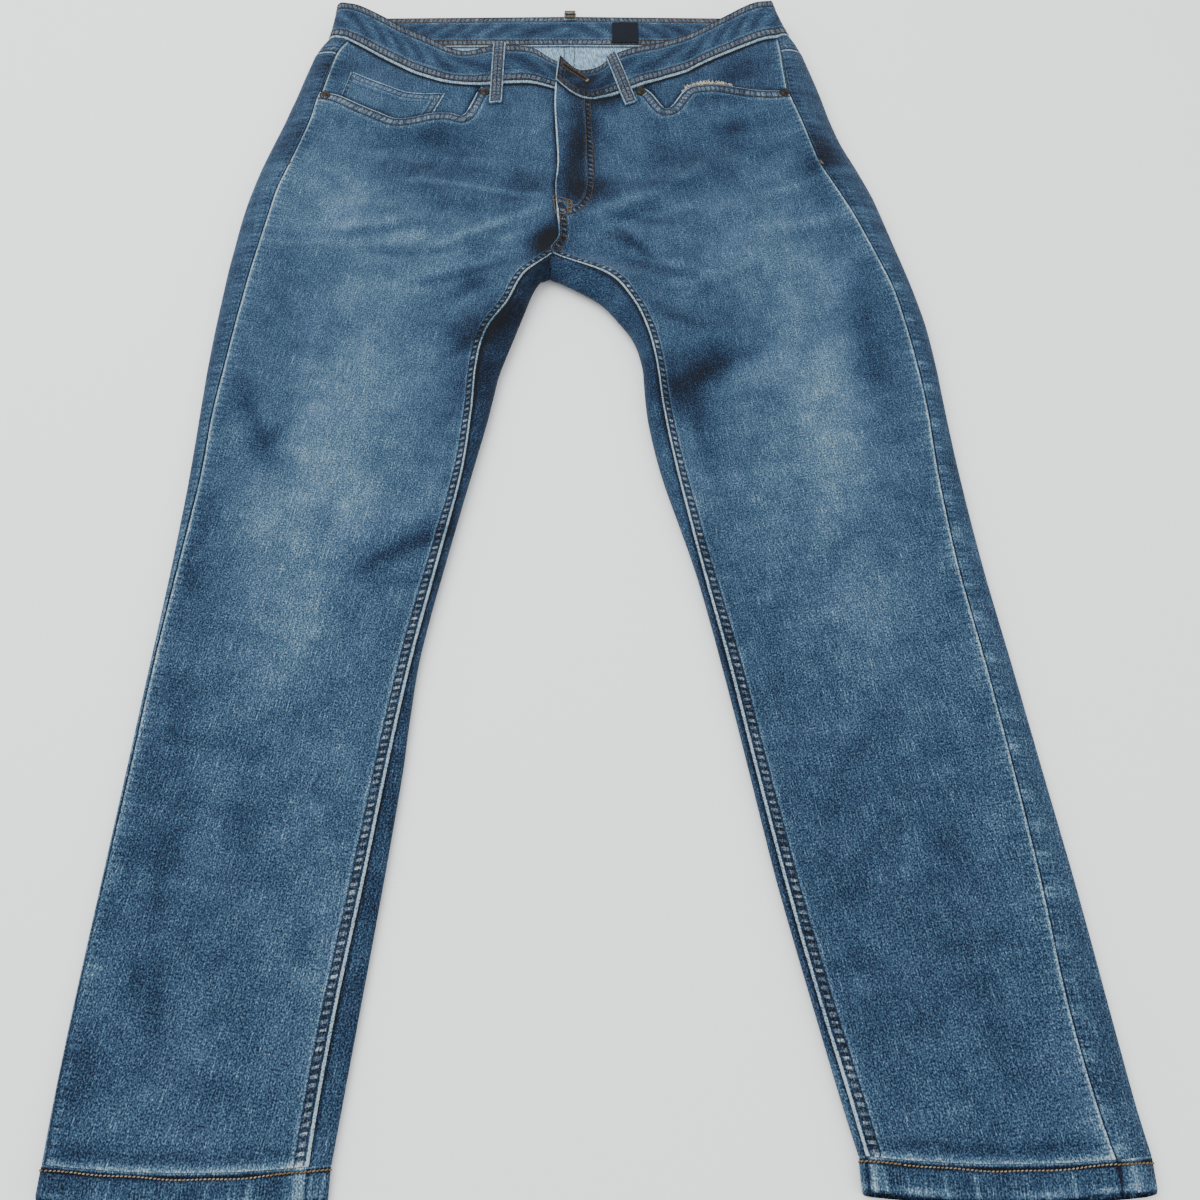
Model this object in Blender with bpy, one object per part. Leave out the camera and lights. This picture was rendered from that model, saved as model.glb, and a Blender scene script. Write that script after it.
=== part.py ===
"""Slim fit jeans, laid flat on their back with the front up.

Metres, +Z up. +Y runs from the hems to the waist, +X to the wearer's left. R and L are the wearer's
right and left. While it is being worked out the garment stands on y = 0 at its hems, and finish()
moves every piece so that the origin lies under the middle of the whole.

Each leg and each half of the seat is a flattened tube. A level u runs up it, one unit for each row of
SHAPE: 0 at the hem band, 13 where the four panels meet at the crotch, 20 at the pocket mouth, 21 at the
yoke seam and 22 at the waist seam. Between rows every value follows a smooth curve.
"""

from collections import namedtuple

import bpy
import numpy as np

# Cloth and clearances.
DENIM = 0.0011                 # one layer of stretch denim
BAND = 0.0026                  # the waistband, an outer and an inner layer with their turnings
HEM = 0.0021                   # the turned-up hem
HEM_DEPTH = 0.0190
HEM_PEEP = 0.0035              # the under layer shows this far below the upper one
HEM_STEP = 0.0006              # the hem stands this far proud of the leg
GAP = 0.0003                   # between pieces that are sewn together
MIDDLE_Y = 0.5345              # half of the laid length

# How the tube is flattened.
CROWN = 0.030                  # how far the raised edges run into the middle of a panel
FOLD_RISE = 0.45               # height of the fold's outermost point, as a share of the seam's height
FOLD_RUN = 1.5                 # how far the fold reaches under the leg, in heights of that point
MOUTH_RISE = 4.0               # levels below the top row over which the pocket mouth bends the rows
FLY_STEP = 0.0008              # the left front lies this much higher along the fly
BAND_STEP = 0.0008             # the waistband stands this far proud of the panels
SEAT_SPREAD = 1.2              # how far sideways the seat's fold lands, for each unit it runs back
SEAT_RUN = 0.014               # from the centre back to where the seat's fold has landed
SEAT_BACK = 0.016              # and how far back, one level before it has flattened

# Levels.
CROTCH, POCKET, YOKE, WAIST = 13, 20, 21, 22

Row = namedtuple("Row", "y_side x_fold y_fold x_side z_side z_mid x_in y_in z_in x_end y_end")
# y_side, x_side, z_side: side seam.  x_fold, y_fold: outermost point of the side fold.
# z_mid: height of the front between its edges.
# x_in, y_in, z_in: inseam up to the crotch, then the centre front.
# x_end, y_end: outermost point of the inner fold up to the crotch, then the centre back seam.
SHAPE = {
    "R": [
        Row(0.0200, -.3480, .0200, -.3440, .0095, .0072, -.1806, .0200, .0095, -.1675, .0200),
        Row(0.0600, -.3480, .0600, -.3450, .0085, .0052, -.1778, .0600, .0095, -.1635, .0600),
        Row(0.1200, -.3465, .1200, -.3435, .0080, .0044, -.1717, .1200, .0095, -.1570, .1200),
        Row(0.2000, -.3430, .2000, -.3400, .0080, .0042, -.1612, .2000, .0100, -.1485, .2000),
        Row(0.2800, -.3395, .2800, -.3360, .0080, .0042, -.1515, .2800, .0100, -.1410, .2800),
        Row(0.3600, -.3360, .3600, -.3320, .0090, .0044, -.1403, .3600, .0105, -.1355, .3600),
        Row(0.4400, -.3325, .4400, -.3260, .0108, .0048, -.1256, .4400, .0120, -.1210, .4400),
        Row(0.5200, -.3310, .5200, -.3200, .0120, .0055, -.1108, .5200, .0140, -.1045, .5200),
        Row(0.5800, -.3310, .5800, -.3185, .0135, .0065, -.1052, .5800, .0160, -.0920, .5800),
        Row(0.6300, -.3310, .6300, -.3145, .0150, .0080, -.1030, .6280, .0180, -.0840, .6250),
        Row(0.6700, -.3300, .6700, -.3110, .0165, .0092, -.0960, .6630, .0190, -.0735, .6600),
        Row(0.7050, -.3285, .7050, -.3075, .0175, .0104, -.0790, .6920, .0200, -.0650, .6880),
        Row(0.7350, -.3270, .7350, -.3040, .0185, .0115, -.0655, .7220, .0208, -.0585, .7090),
        Row(0.7620, -.3248, .7620, -.3003, .0192, .0122, -.0415, .7440, .0215, -.0520, .7220),
        Row(0.7900, -.3225, .7900, -.2965, .0198, .0124, -.0370, .7650, .0212, -.0440, .7265),
        Row(0.8200, -.3185, .8200, -.2925, .0200, .0122, -.0385, .7900, .0208, -.0440, .7430),
        Row(0.8500, -.3130, .8500, -.2850, .0200, .0118, -.0405, .8220, .0200, -.0435, .7800),
        Row(0.8800, -.3058, .8800, -.2775, .0200, .0114, -.0392, .8550, .0190, -.0420, .8250),
        Row(0.9080, -.2985, .9080, -.2712, .0202, .0112, -.0410, .8880, .0178, -.0400, .8650),
        Row(0.9280, -.2940, .9280, -.2685, .0204, .0114, -.0430, .9250, .0162, -.0380, .9000),
        Row(0.9425, -.2905, .9425, -.2655, .0206, .0118, -.0425, .9552, .0150, -.0360, .9250),
        Row(0.9930, -.2785, .9985, -.2555, .0210, .0130, -.0425, .9552, .0150, -.0330, .9550),
        Row(1.0127, -.2670, 1.0222, -.2455, .0215, .0140, -.0425, .9552, .0150, -.0300, 1.0242),
    ],
    "L": [
        Row(0.0250, .3450, .0250, .3200, .0115, .0072, .1655, .0250, .0095, .1620, .0250),
        Row(0.0600, .3405, .0600, .3135, .0110, .0052, .1580, .0600, .0090, .1535, .0600),
        Row(0.1200, .3345, .1200, .3060, .0110, .0044, .1435, .1200, .0090, .1395, .1200),
        Row(0.2000, .3265, .2000, .3015, .0110, .0042, .1260, .2000, .0090, .1215, .2000),
        Row(0.2800, .3170, .2800, .2945, .0112, .0042, .1105, .2800, .0095, .1065, .2800),
        Row(0.3600, .3075, .3600, .2860, .0120, .0044, .0955, .3600, .0100, .0910, .3600),
        Row(0.4400, .2975, .4400, .2760, .0130, .0048, .0785, .4400, .0115, .0735, .4400),
        Row(0.5200, .2900, .5200, .2705, .0145, .0055, .0625, .5200, .0140, .0505, .5200),
        Row(0.5800, .2860, .5800, .2690, .0160, .0065, .0525, .5800, .0160, .0390, .5800),
        Row(0.6300, .2835, .6300, .2650, .0172, .0080, .0470, .6300, .0180, .0355, .6300),
        Row(0.6700, .2800, .6700, .2600, .0180, .0092, .0395, .6660, .0190, .0290, .6560),
        Row(0.7050, .2740, .7050, .2540, .0190, .0104, .0270, .6960, .0200, .0165, .6770),
        Row(0.7350, .2675, .7350, .2450, .0200, .0115, .0060, .7220, .0208, -.0020, .7000),
        Row(0.7620, .2610, .7620, .2360, .0208, .0122, -.0415, .7440, .0215, -.0310, .7190),
        Row(0.7900, .2545, .7900, .2262, .0215, .0124, -.0370, .7650, .0212, -.0440, .7265),
        Row(0.8200, .2470, .8200, .2138, .0220, .0122, -.0385, .7900, .0208, -.0440, .7430),
        Row(0.8500, .2368, .8500, .2010, .0225, .0118, -.0405, .8220, .0200, -.0435, .7800),
        Row(0.8800, .2255, .8800, .1935, .0228, .0114, -.0392, .8550, .0190, -.0420, .8250),
        Row(0.9080, .2180, .9080, .1870, .0230, .0114, -.0410, .8880, .0178, -.0400, .8650),
        Row(0.9280, .2138, .9280, .1815, .0232, .0118, -.0430, .9250, .0162, -.0380, .9000),
        Row(0.9430, .2110, .9430, .1780, .0233, .0124, -.0425, .9552, .0150, -.0360, .9250),
        Row(0.9930, .1975, .9985, .1745, .0236, .0140, -.0425, .9552, .0150, -.0330, .9550),
        Row(1.0127, .1870, 1.0222, .1725, .0240, .0150, -.0425, .9552, .0150, -.0300, 1.0242),
    ],
}

Section = namedtuple("Section", "x_seam y_seam z_seam x_top y_top z_top x_mouth y_mouth")
# Sections of the waist from the side seam to the centre front: the band's lower seam, its top edge, and
# the pocket mouth below it. Sections without a mouth (None) have the panel sewn to the band.
WAIST_LINE = {
    "R": [
        Section(-.2455, 1.0130, .0215, -.2515, 1.0600, .0255, -.2655, .9425),
        Section(-.2330, 1.0050, .0210, -.2375, 1.0565, .0253, -.2480, .9390),
        Section(-.2130, .9915, .0200, -.2160, 1.0440, .0243, -.2270, .9280),
        Section(-.1960, .9810, .0192, -.1985, 1.0325, .0230, -.2080, .9185),
        Section(-.1800, .9715, .0185, -.1820, 1.0240, .0215, -.1920, .9115),
        Section(-.1640, .9650, .0177, -.1650, 1.0150, .0205, -.1760, .9140),
        Section(-.1490, .9605, .0170, -.1500, 1.0055, .0197, -.1580, .9200),
        Section(-.1350, .9585, .0165, -.1350, 1.0000, .0190, -.1400, .9205),
        Section(-.1240, .9578, .0162, -.1230, 1.0010, .0190, -.1280, .9185),
        Section(-.1150, .9578, .0160, -.1130, 1.0040, .0195, -.1160, .9510),
        Section(-.1020, .9585, .0160, -.1010, 1.0065, .0205, None, None),
        Section(-.0870, .9600, .0160, -.0860, 1.0060, .0205, None, None),
        Section(-.0660, .9610, .0152, -.0660, 1.0055, .0180, None, None),
        Section(-.0425, .9545, .0138, -.0470, .9950, .0138, None, None),
    ],
    "L": [
        Section(.1725, 1.0130, .0240, .1665, 1.0600, .0275, .1780, .9425),
        Section(.1590, 1.0108, .0235, .1530, 1.0585, .0270, .1640, .9420),
        Section(.1430, 1.0040, .0225, .1390, 1.0515, .0262, .1460, .9445),
        Section(.1270, .9965, .0215, .1245, 1.0420, .0254, .1280, .9495),
        Section(.1110, .9885, .0206, .1095, 1.0320, .0246, .1110, .9535),
        Section(.0960, .9800, .0198, .0950, 1.0225, .0238, .0950, .9535),
        Section(.0840, .9720, .0192, .0830, 1.0165, .0230, .0855, .9515),
        Section(.0730, .9675, .0187, .0725, 1.0125, .0226, .0770, .9440),
        Section(.0650, .9648, .0184, .0640, 1.0092, .0224, .0700, .9310),
        Section(.0570, .9618, .0180, .0560, 1.0065, .0221, .0620, .9240),
        Section(.0490, .9592, .0177, .0480, 1.0050, .0220, .0525, .9400),
        Section(.0415, .9568, .0174, .0400, 1.0030, .0220, .0440, .9510),
        Section(.0290, .9508, .0170, .0270, .9990, .0215, None, None),
        Section(.0150, .9440, .0167, .0130, .9930, .0200, None, None),
        Section(.0020, .9395, .0170, .0020, .9815, .0185, None, None),
        Section(-.0110, .9355, .0185, -.0090, .9745, .0190, None, None),
        Section(-.0260, .9400, .0218, -.0230, .9715, .0222, None, None),
        Section(-.0425, .9570, .0225, -.0395, .9880, .0250, None, None),
    ],
}

Underlap = namedtuple("Underlap", "x_seam y_seam z_seam x_top y_top z_top")
# The right end of the band runs on under the left tab.
UNDERLAP = [
    Underlap(-.0250, .9470, .0118, -.0280, .9860, .0115),
    Underlap(-.0060, .9420, .0090, -.0080, .9790, .0082),
]

Crease = namedtuple("Crease", "x0 y0 x1 y1 height width")
# The largest folds of the front, each a soft ridge (or trough, below zero) along a straight run.
CREASES = [
    Crease(-.070, .790, -.215, .868, .0032, .013),
    Crease(-.075, .762, -.255, .812, .0034, .014),
    Crease(-.090, .728, -.270, .752, .0026, .015),
    Crease(-.120, .668, -.240, .690, .0024, .017),
    Crease(-.010, .785, .120, .868, .0032, .013),
    Crease(.000, .758, .170, .815, .0034, .014),
    Crease(.030, .722, .190, .755, .0026, .015),
    Crease(.070, .660, .185, .688, .0024, .017),
    Crease(-.220, .610, -.235, .330, .0028, .034),
    Crease(.160, .600, .190, .330, .0028, .034),
    Crease(-.165, .478, -.262, .462, .0020, .014),
    Crease(-.180, .428, -.290, .402, .0018, .015),
    Crease(.105, .480, .200, .458, .0020, .014),
    Crease(.120, .415, .235, .398, .0018, .015),
    Crease(-.240, .150, -.262, .060, .0020, .026),
    Crease(.225, .165, .245, .060, .0020, .026),
    Crease(-.060, .935, -.200, .895, .0016, .014),
    Crease(.020, .925, .130, .895, .0016, .014),
]

# Back pockets, on the underside.
POCKET_TOP_HALF = 0.074
POCKET_LOW_HALF = 0.066
POCKET_LOW_Y = 0.790
POCKET_POINT_Y = 0.772
POCKET_TOP_Y = 0.925
POCKET_CLOTH = 0.0010
POCKET_LIFT = 0.0014           # the panel lies this high over a pocket
POCKET_MARGIN = 0.016          # and comes down to the ground over this distance
POCKET_X = {"R": -0.155, "L": 0.075}

# Front pockets: the facing lies under the panel, the coin pocket between them.
FACING_DROP = 0.0028
FACING_UNDER = 1.6             # levels that the facing runs down behind the mouth
COIN_CLOTH = 0.0010
COIN_SHARES = (0.088, 0.460, 0.505)   # of the front's width: left edge, right edge low, right edge high
COIN_HEIGHTS = (-0.55, 0.50, 0.64)    # foot, top left, top right, on the facing's own height scale

# Behind the fly, as drops below the front's outer face.
UNDERLAP_DROP = {"R": 0.0034, "L": 0.0043}
ZIP_DROP = 0.0022
ZIP_CLOTH = 0.0008

# Waistband and loops on the underside.
BAND_LIFT = 0.0019
BAND_LIFT_FROM = 0.975
BAND_LIFT_TO = 1.012
BAND_CROWN = 0.0010
BAND_TOP_Y = 1.0668
BAND_TOP_FOLD = {"R": (-.2620, 1.0640), "L": (.1722, 1.0640)}
BACK_X = -0.0300               # centre back at the waist
LOOP_HALF = 0.0060
LOOP_CLOTH = 0.0014
LOOP_AIR = 0.0008
BackLoop = namedtuple("BackLoop", "y z")
# Outer face of the centre back loop: under the band, round its top edge, and a short way down inside.
CENTRE_LOOP_PATH = [
    BackLoop(1.0150, .0000), BackLoop(1.0400, .0000), BackLoop(1.0640, .0000), BackLoop(1.0690, .0008),
    BackLoop(1.0715, .0035), BackLoop(1.0695, .0064), BackLoop(1.0640, .0070), BackLoop(1.0600, .0066),
]
# The two beside it end under the band, short of its top edge.
SIDE_LOOP_PATH = [BackLoop(1.0150, .0000), BackLoop(1.0400, .0000), BackLoop(1.0635, .0000)]
BACK_LOOPS = {"belt_loop_back_R": (-0.135, SIDE_LOOP_PATH), "belt_loop_back": (-0.030, CENTRE_LOOP_PATH),
              "belt_loop_back_L": (0.075, SIDE_LOOP_PATH)}
FrontLoop = namedtuple("FrontLoop", "side w_top w_low drop")
# Front loops: section of the waist line at the top and at the seam, and the run below the seam.
FRONT_LOOPS = {
    "belt_loop_front_R": FrontLoop("R", 10.23, 10.23, .026),
    "belt_loop_front_L": FrontLoop("L", 13.20, 12.35, .018),
}

RIVET_RADIUS = 0.0045
RIVET_HEIGHT = 0.0012
RIVETS = {
    "rivet_side_R": ("R", -.2600, .9370), "rivet_inner_R": ("R", -.1104, .9480),
    "rivet_side_L": ("L", .1740, .9375), "rivet_inner_L": ("L", .0388, .9468),
}
BUTTON_RADIUS = 0.0082
BUTTON_HEIGHT = 0.0022
BUTTON_PLACE = (-0.0285, 0.9660)
LABEL_BOX = ((0.0120, 1.0280), (0.0380, 1.0570))
LABEL_CLOTH = 0.0007

COLOURS = {                    # linear base colour, roughness, metallic
    "denim": ((0.075, 0.150, 0.260), 0.85, 0.0),
    "denim_dark": ((0.050, 0.105, 0.195), 0.85, 0.0),
    "denim_light": ((0.110, 0.190, 0.300), 0.85, 0.0),
    "metal": ((0.115, 0.080, 0.055), 0.42, 1.0),
    "label": ((0.012, 0.018, 0.035), 0.80, 0.0),
}
SIGN = {"R": 1.0, "L": -1.0}   # x runs from the side seam to the middle with this sign


def smooth(t):
    t = np.clip(t, 0.0, 1.0)
    return t * t * (3.0 - 2.0 * t)


def along(rows, u):
    """Smooth curve through table rows: row k at u = k, with a tangent from its neighbours."""
    rows = np.asarray(rows, float)
    u = np.clip(np.asarray(u, float), 0.0, len(rows) - 1.0)
    k = np.minimum(u.astype(int), len(rows) - 2)
    t = (u - k)[..., None]
    slope = np.gradient(rows, axis=0)
    a, b, da, db = rows[k], rows[k + 1], slope[k], slope[k + 1]
    t2, t3 = t * t, t * t * t
    return (2 * t3 - 3 * t2 + 1) * a + (t3 - 2 * t2 + t) * da + (3 * t2 - 2 * t3) * b + (t3 - t2) * db


def shape_at(side, u):
    return Row(*np.moveaxis(along(SHAPE[side], u), -1, 0))


def crease_height(x, y):
    """Sum of the creases: height * exp(-(distance / width)^2), fading to nothing at both ends."""
    total = np.zeros(np.broadcast(x, y).shape)
    for c in CREASES:
        run = np.array([c.x1 - c.x0, c.y1 - c.y0])
        length = np.hypot(*run)
        t = ((x - c.x0) * run[0] + (y - c.y0) * run[1]) / length
        off = ((y - c.y0) * run[0] - (x - c.x0) * run[1]) / length
        fade = smooth((t + 0.02) / 0.05) * smooth((length - t + 0.02) / 0.05)
        total += c.height * fade * np.exp(-(off / c.width) ** 2)
    return total


def floor_lift(x, y):
    """Height of the underside: flat on the ground, raised over the back pockets and the loops."""
    lift = BAND_LIFT * smooth((y - BAND_LIFT_FROM) / (BAND_LIFT_TO - BAND_LIFT_FROM))
    for centre in POCKET_X.values():
        dx = np.abs(x - centre) - POCKET_TOP_HALF
        dy = np.maximum(POCKET_POINT_Y - y, y - POCKET_TOP_Y)
        away = np.maximum(dx, dy) / POCKET_MARGIN
        lift = np.maximum(lift, POCKET_LIFT * (1.0 - smooth(away - 0.6)))
    return lift


def top_row(side):
    """Front panel's top edge, one point for each waist section: pocket mouth, then the band seam."""
    return np.array([(s.x_seam, s.y_seam - GAP) if s.x_mouth is None else (s.x_mouth, s.y_mouth)
                     for s in WAIST_LINE[side]])


def columns(side):
    """Share of the front's width at which each waist section's column runs down the panel."""
    x = top_row(side)[:, 0]
    return (x - x[0]) / (x[-1] - x[0])


def front_surface(side, u, r):
    """Outer face of a front panel. r runs from the side seam, 0, to the inseam or centre front, 1.

    plan = side + r (inner - side), bent near the top towards the pocket mouth.
    height = middle + (edge - middle) exp(-(distance / CROWN)^2) for each edge, plus the creases.
    """
    u, r = np.broadcast_arrays(u, r)
    s = shape_at(side, u)
    width = np.hypot(s.x_in - s.x_side, s.y_in - s.y_side)
    x = s.x_side + r * (s.x_in - s.x_side)
    y = s.y_side + r * (s.y_in - s.y_side)
    top = top_row(side)
    top_share = columns(side)
    last = SHAPE[side][POCKET]
    bend = smooth((u - (POCKET - MOUTH_RISE)) / MOUTH_RISE) ** 1.5
    x = x + bend * (np.interp(r, top_share, top[:, 0]) - (last.x_side + r * (last.x_in - last.x_side)))
    y = y + bend * (np.interp(r, top_share, top[:, 1]) - (last.y_side + r * (last.y_in - last.y_side)))
    out_part = np.exp(-(r * width / CROWN) ** 2)
    in_part = np.exp(-((1.0 - r) * width / CROWN) ** 2)
    z = s.z_mid + (s.z_side - s.z_mid) * out_part + (s.z_in - s.z_mid) * in_part
    top_z = np.interp(r, top_share, [w.z_seam for w in WAIST_LINE[side]]) - BAND_STEP
    z = z + bend * (top_z - z)
    z = z + crease_height(x, y) * smooth((POCKET - u) / 2.0)
    if side == "L":
        z = z + FLY_STEP * smooth((u - CROTCH - 1.0) / 1.0) * smooth((r - 0.75) / 0.1)
    return np.stack([x, y, z], axis=-1)


def centre_back(u):
    """The centre back seam: over the edge of the seat below the crotch, then flat to the waist."""
    join, edge, under = SHAPE["R"][CROTCH], SHAPE["R"][CROTCH + 1], SHAPE["R"][CROTCH + 2]
    z_edge = FOLD_RISE * join.z_in
    if u <= CROTCH + 1:
        a = (u - CROTCH) * np.pi / 2
        x = join.x_in + (edge.x_end - join.x_in) * np.sin(a)
        y = join.y_in + (edge.y_end - join.y_in) * np.sin(a)
        return np.array([x, y, z_edge + (join.z_in - z_edge) * np.cos(a)])
    if u <= CROTCH + 2:
        a = (u - CROTCH - 1) * np.pi / 2
        y = edge.y_end + (under.y_end - edge.y_end) * (1.0 - np.cos(a))
        return np.array([under.x_end, y, z_edge * (1.0 - np.sin(a))])
    s = shape_at("R", u)
    return np.array([s.x_end, s.y_end, floor_lift(s.x_end, s.y_end)])


def fold(seam, edge, direction, angles):
    """Half a turn of cloth from a seam on top, round its outermost edge, to the ground.

    Upper quarter: plan = seam + (edge - seam) sin a, z = rise + (top - rise) cos a.
    Lower quarter: plan = edge - run (1 - cos b) direction, z = rise (1 - sin b), with b = a - 90 deg.
    """
    rise = FOLD_RISE * seam[2]
    run = FOLD_RUN * rise
    points = []
    for a in angles:
        if a <= np.pi / 2:
            plan = seam[:2] + (edge - seam[:2]) * np.sin(a)
            z = rise + (seam[2] - rise) * np.cos(a)
        else:
            b = a - np.pi / 2
            plan = edge - run * (1.0 - np.cos(b)) * direction
            z = rise * (1.0 - np.sin(b))
        points.append((plan[0], plan[1], z))
    return np.array(points)


def back_row(side, u, turn, flat):
    """One row of a back panel's outer face: side fold, flat underside, then inner fold or seam."""
    s = shape_at(side, u)
    sign = SIGN[side]
    angles = np.linspace(0.0, np.pi, turn + 1)
    seam = np.array([s.x_side - sign * GAP, s.y_side, s.z_side])
    outer = fold(seam, np.array([s.x_fold, s.y_fold]), np.array([-sign, 0.0]), angles)
    lift = floor_lift(outer[:, 0], outer[:, 1])
    outer[:, 2] = np.maximum(outer[:, 2], 0.0) + lift * (1.0 - outer[:, 2] / seam[2])
    end = centre_back(max(u, CROTCH)) - np.array([sign * GAP / 2, 0.0, 0.0])
    if u <= CROTCH + 1:
        share = 1.0 - 0.5 * max(u - CROTCH, 0.0)
        inseam = np.array([s.x_in, s.y_in, s.z_in])
        if u > CROTCH:
            join = SHAPE[side][CROTCH]
            inseam = np.array([join.x_in, join.y_in, join.z_in])
        edge = np.array([s.x_end, s.y_end])
        way = edge - inseam[:2]
        way = way / np.hypot(*way)
        inseam[:2] += way * GAP
        if u == CROTCH:
            inseam[0] -= sign * GAP / 2
        spread = np.array([sign * SEAT_SPREAD, -1.0]) / np.hypot(SEAT_SPREAD, 1.0)
        way = way + smooth((u - CROTCH + 2.0) / 2.0) * (spread - way)
        inner = fold(inseam, edge, way / np.hypot(*way), np.linspace(np.pi, np.pi * (1.0 - share), turn + 1))
    else:
        back = SEAT_BACK * max(CROTCH + 2 - u, 0.0)
        start = np.array([end[0] - sign * SEAT_RUN, end[1] + back, 0.0])
        t = np.linspace(0.0, 1.0, turn + 1)[:, None]
        inner = start + t * (end - start)
        inner[:, 2] = floor_lift(inner[:, 0], inner[:, 1]) + end[2] * t[:, 0] ** 2 * (u < CROTCH + 2)
    if u > CROTCH:
        t = np.linspace(0.0, 1.0, turn + 1)[:, None]
        inner = inner + t * (end - inner[-1])
    t = np.linspace(0.0, 1.0, flat + 1)[1:-1, None]
    middle = outer[-1] + t * (inner[0] - outer[-1])
    middle[:, 2] = floor_lift(middle[:, 0], middle[:, 1])
    inner[0, 2] = max(inner[0, 2], floor_lift(inner[0, 0], inner[0, 1]))
    return np.vstack([outer, middle, inner])


def back_grid(side, levels, turn=6, flat=8):
    return np.array([back_row(side, u, turn, flat) for u in levels])


def back_normals(grid, side, levels):
    """Outward normals, made upright at the seams so that the walls of both panels meet squarely."""
    n = grid_normals(grid) * -SIGN[side]
    n[:, 0] = (0.0, 0.0, 1.0)
    for k, u in enumerate(levels):
        if u <= CROTCH:
            n[k, -1] = (0.0, 0.0, 1.0)
        elif u <= CROTCH + 2:
            a = (u - CROTCH) * np.pi / 2
            n[k, -1] = (0.0, -np.sin(a), np.cos(a))
        else:
            n[k, -1] = (0.0, 0.0, -1.0)
    return n


def band_point(side, w, v):
    """Outer face of the front waistband: section w along it, v from the seam, 0, to the top edge, 1."""
    rows = [tuple(s)[:6] for s in WAIST_LINE[side]]
    if side == "R":
        rows = rows + [tuple(s) for s in UNDERLAP]
    c = along(rows, w)
    low, high = c[..., 0:3], c[..., 3:6]
    v = np.asarray(v, float)[..., None]
    point = low + v * (high - low)
    point[..., 2] += BAND_CROWN * np.sin(np.pi * v[..., 0])
    return point


def grid_normals(grid, ring=False):
    """Unit normals of a grid of points, (step across a row) x (step from row to row), evened out."""
    rows = np.gradient(grid, axis=0)
    if ring:
        around = (np.roll(grid, -1, axis=1) - np.roll(grid, 1, axis=1)) / 2.0
    else:
        around = np.gradient(grid, axis=1)
    n = np.cross(around, rows)
    n /= np.linalg.norm(n, axis=-1, keepdims=True)
    for _ in range(2):
        padded = np.concatenate([n[:1], n, n[-1:]])
        n = padded[:-2] + 2.0 * n + padded[2:]
        if ring:
            n = np.roll(n, 1, axis=1) + 2.0 * n + np.roll(n, -1, axis=1)
        else:
            padded = np.concatenate([n[:, :1], n, n[:, -1:]], axis=1)
            n = padded[:, :-2] + 2.0 * n + padded[:, 2:]
        n /= np.linalg.norm(n, axis=-1, keepdims=True)
    return n


def add_mesh(name, points, faces, colour):
    mesh = bpy.data.meshes.new(name)
    mesh.from_pydata([tuple(p) for p in points], [], faces)
    mesh.update()
    mesh.shade_smooth()
    mesh.set_sharp_from_angle(angle=np.radians(40.0))
    base, roughness, metallic = COLOURS[colour]
    material = bpy.data.materials.get(colour + "_" + name) or bpy.data.materials.new(colour + "_" + name)
    material.use_nodes = True
    shader = material.node_tree.nodes["Principled BSDF"]
    shader.inputs["Base Color"].default_value = (*base, 1.0)
    shader.inputs["Roughness"].default_value = roughness
    shader.inputs["Metallic"].default_value = metallic
    material.diffuse_color = (*base, 1.0)
    mesh.materials.append(material)
    obj = bpy.data.objects.new(name, mesh)
    bpy.context.collection.objects.link(obj)
    return obj


def wall(name, outer, normals, thickness, colour, ring=False, turned=False):
    """A closed wall: the outer grid, the same grid moved in by the thickness, and the rims.

    turned says that (across x up) points into the wall, so the faces are wound the other way.
    """
    inner = outer - normals * thickness
    n, m = outer.shape[:2]
    points = np.vstack([outer.reshape(-1, 3), inner.reshape(-1, 3)])
    size = n * m
    faces = []

    def quad(a, b, c, d):
        corners = (a, b, c, d) if not turned else (d, c, b, a)
        faces.append((corners[1], corners[2], corners[3]))
        faces.append((corners[1], corners[3], corners[0]))

    last = m if ring else m - 1
    for i in range(n - 1):
        for j in range(last):
            k = (j + 1) % m
            a, b, c, d = i * m + j, i * m + k, (i + 1) * m + k, (i + 1) * m + j
            quad(a, b, c, d)
            quad(a + size, d + size, c + size, b + size)
    for j in range(last):
        k = (j + 1) % m
        quad(j + size, k + size, k, j)
        end = (n - 1) * m
        quad(end + j, end + k, end + k + size, end + j + size)
    if not ring:
        for i in range(n - 1):
            a, d = i * m, (i + 1) * m
            quad(a, d, d + size, a + size)
            a, d = i * m + m - 1, (i + 1) * m + m - 1
            quad(a + size, d + size, d, a)
    return add_mesh(name, points, faces, colour)


def front_levels():
    legs = np.linspace(0.0, 9.0, 19)
    return np.concatenate([legs, np.arange(10.0, POCKET - 1), [POCKET - 1.0, POCKET - 0.5, POCKET]])


def front_grid(side, u, r):
    """Front panel's grid, its side and inner edges held half a gap from their seams."""
    grid = front_surface(side, u[:, None], r[None, :])
    for edge, other in ((0, 1), (-1, -2)):
        way = grid[:, other, :2] - grid[:, edge, :2]
        way = way / np.linalg.norm(way, axis=-1, keepdims=True)
        grid[:, edge, :2] += way * GAP / 2
    grid[0, :, 1] += GAP
    return grid


def front_panel(side):
    u, r = front_levels(), columns(side)
    grid = front_grid(side, u, r)
    normals = grid_normals(grid) * SIGN[side]
    normals[:, 0] = normals[:, -1] = (0.0, 0.0, 1.0)
    normals[-1] = (0.0, 0.0, 1.0)
    wall("front_panel_" + side, grid, normals, DENIM, "denim", turned=side == "L")


def back_levels():
    seat = np.linspace(CROTCH, CROTCH + 2, 5)
    return np.concatenate([np.linspace(0.0, 9.0, 19), np.arange(10.0, CROTCH), seat,
                           np.arange(CROTCH + 3.0, POCKET + 1), [POCKET + 0.5, YOKE]])


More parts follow.
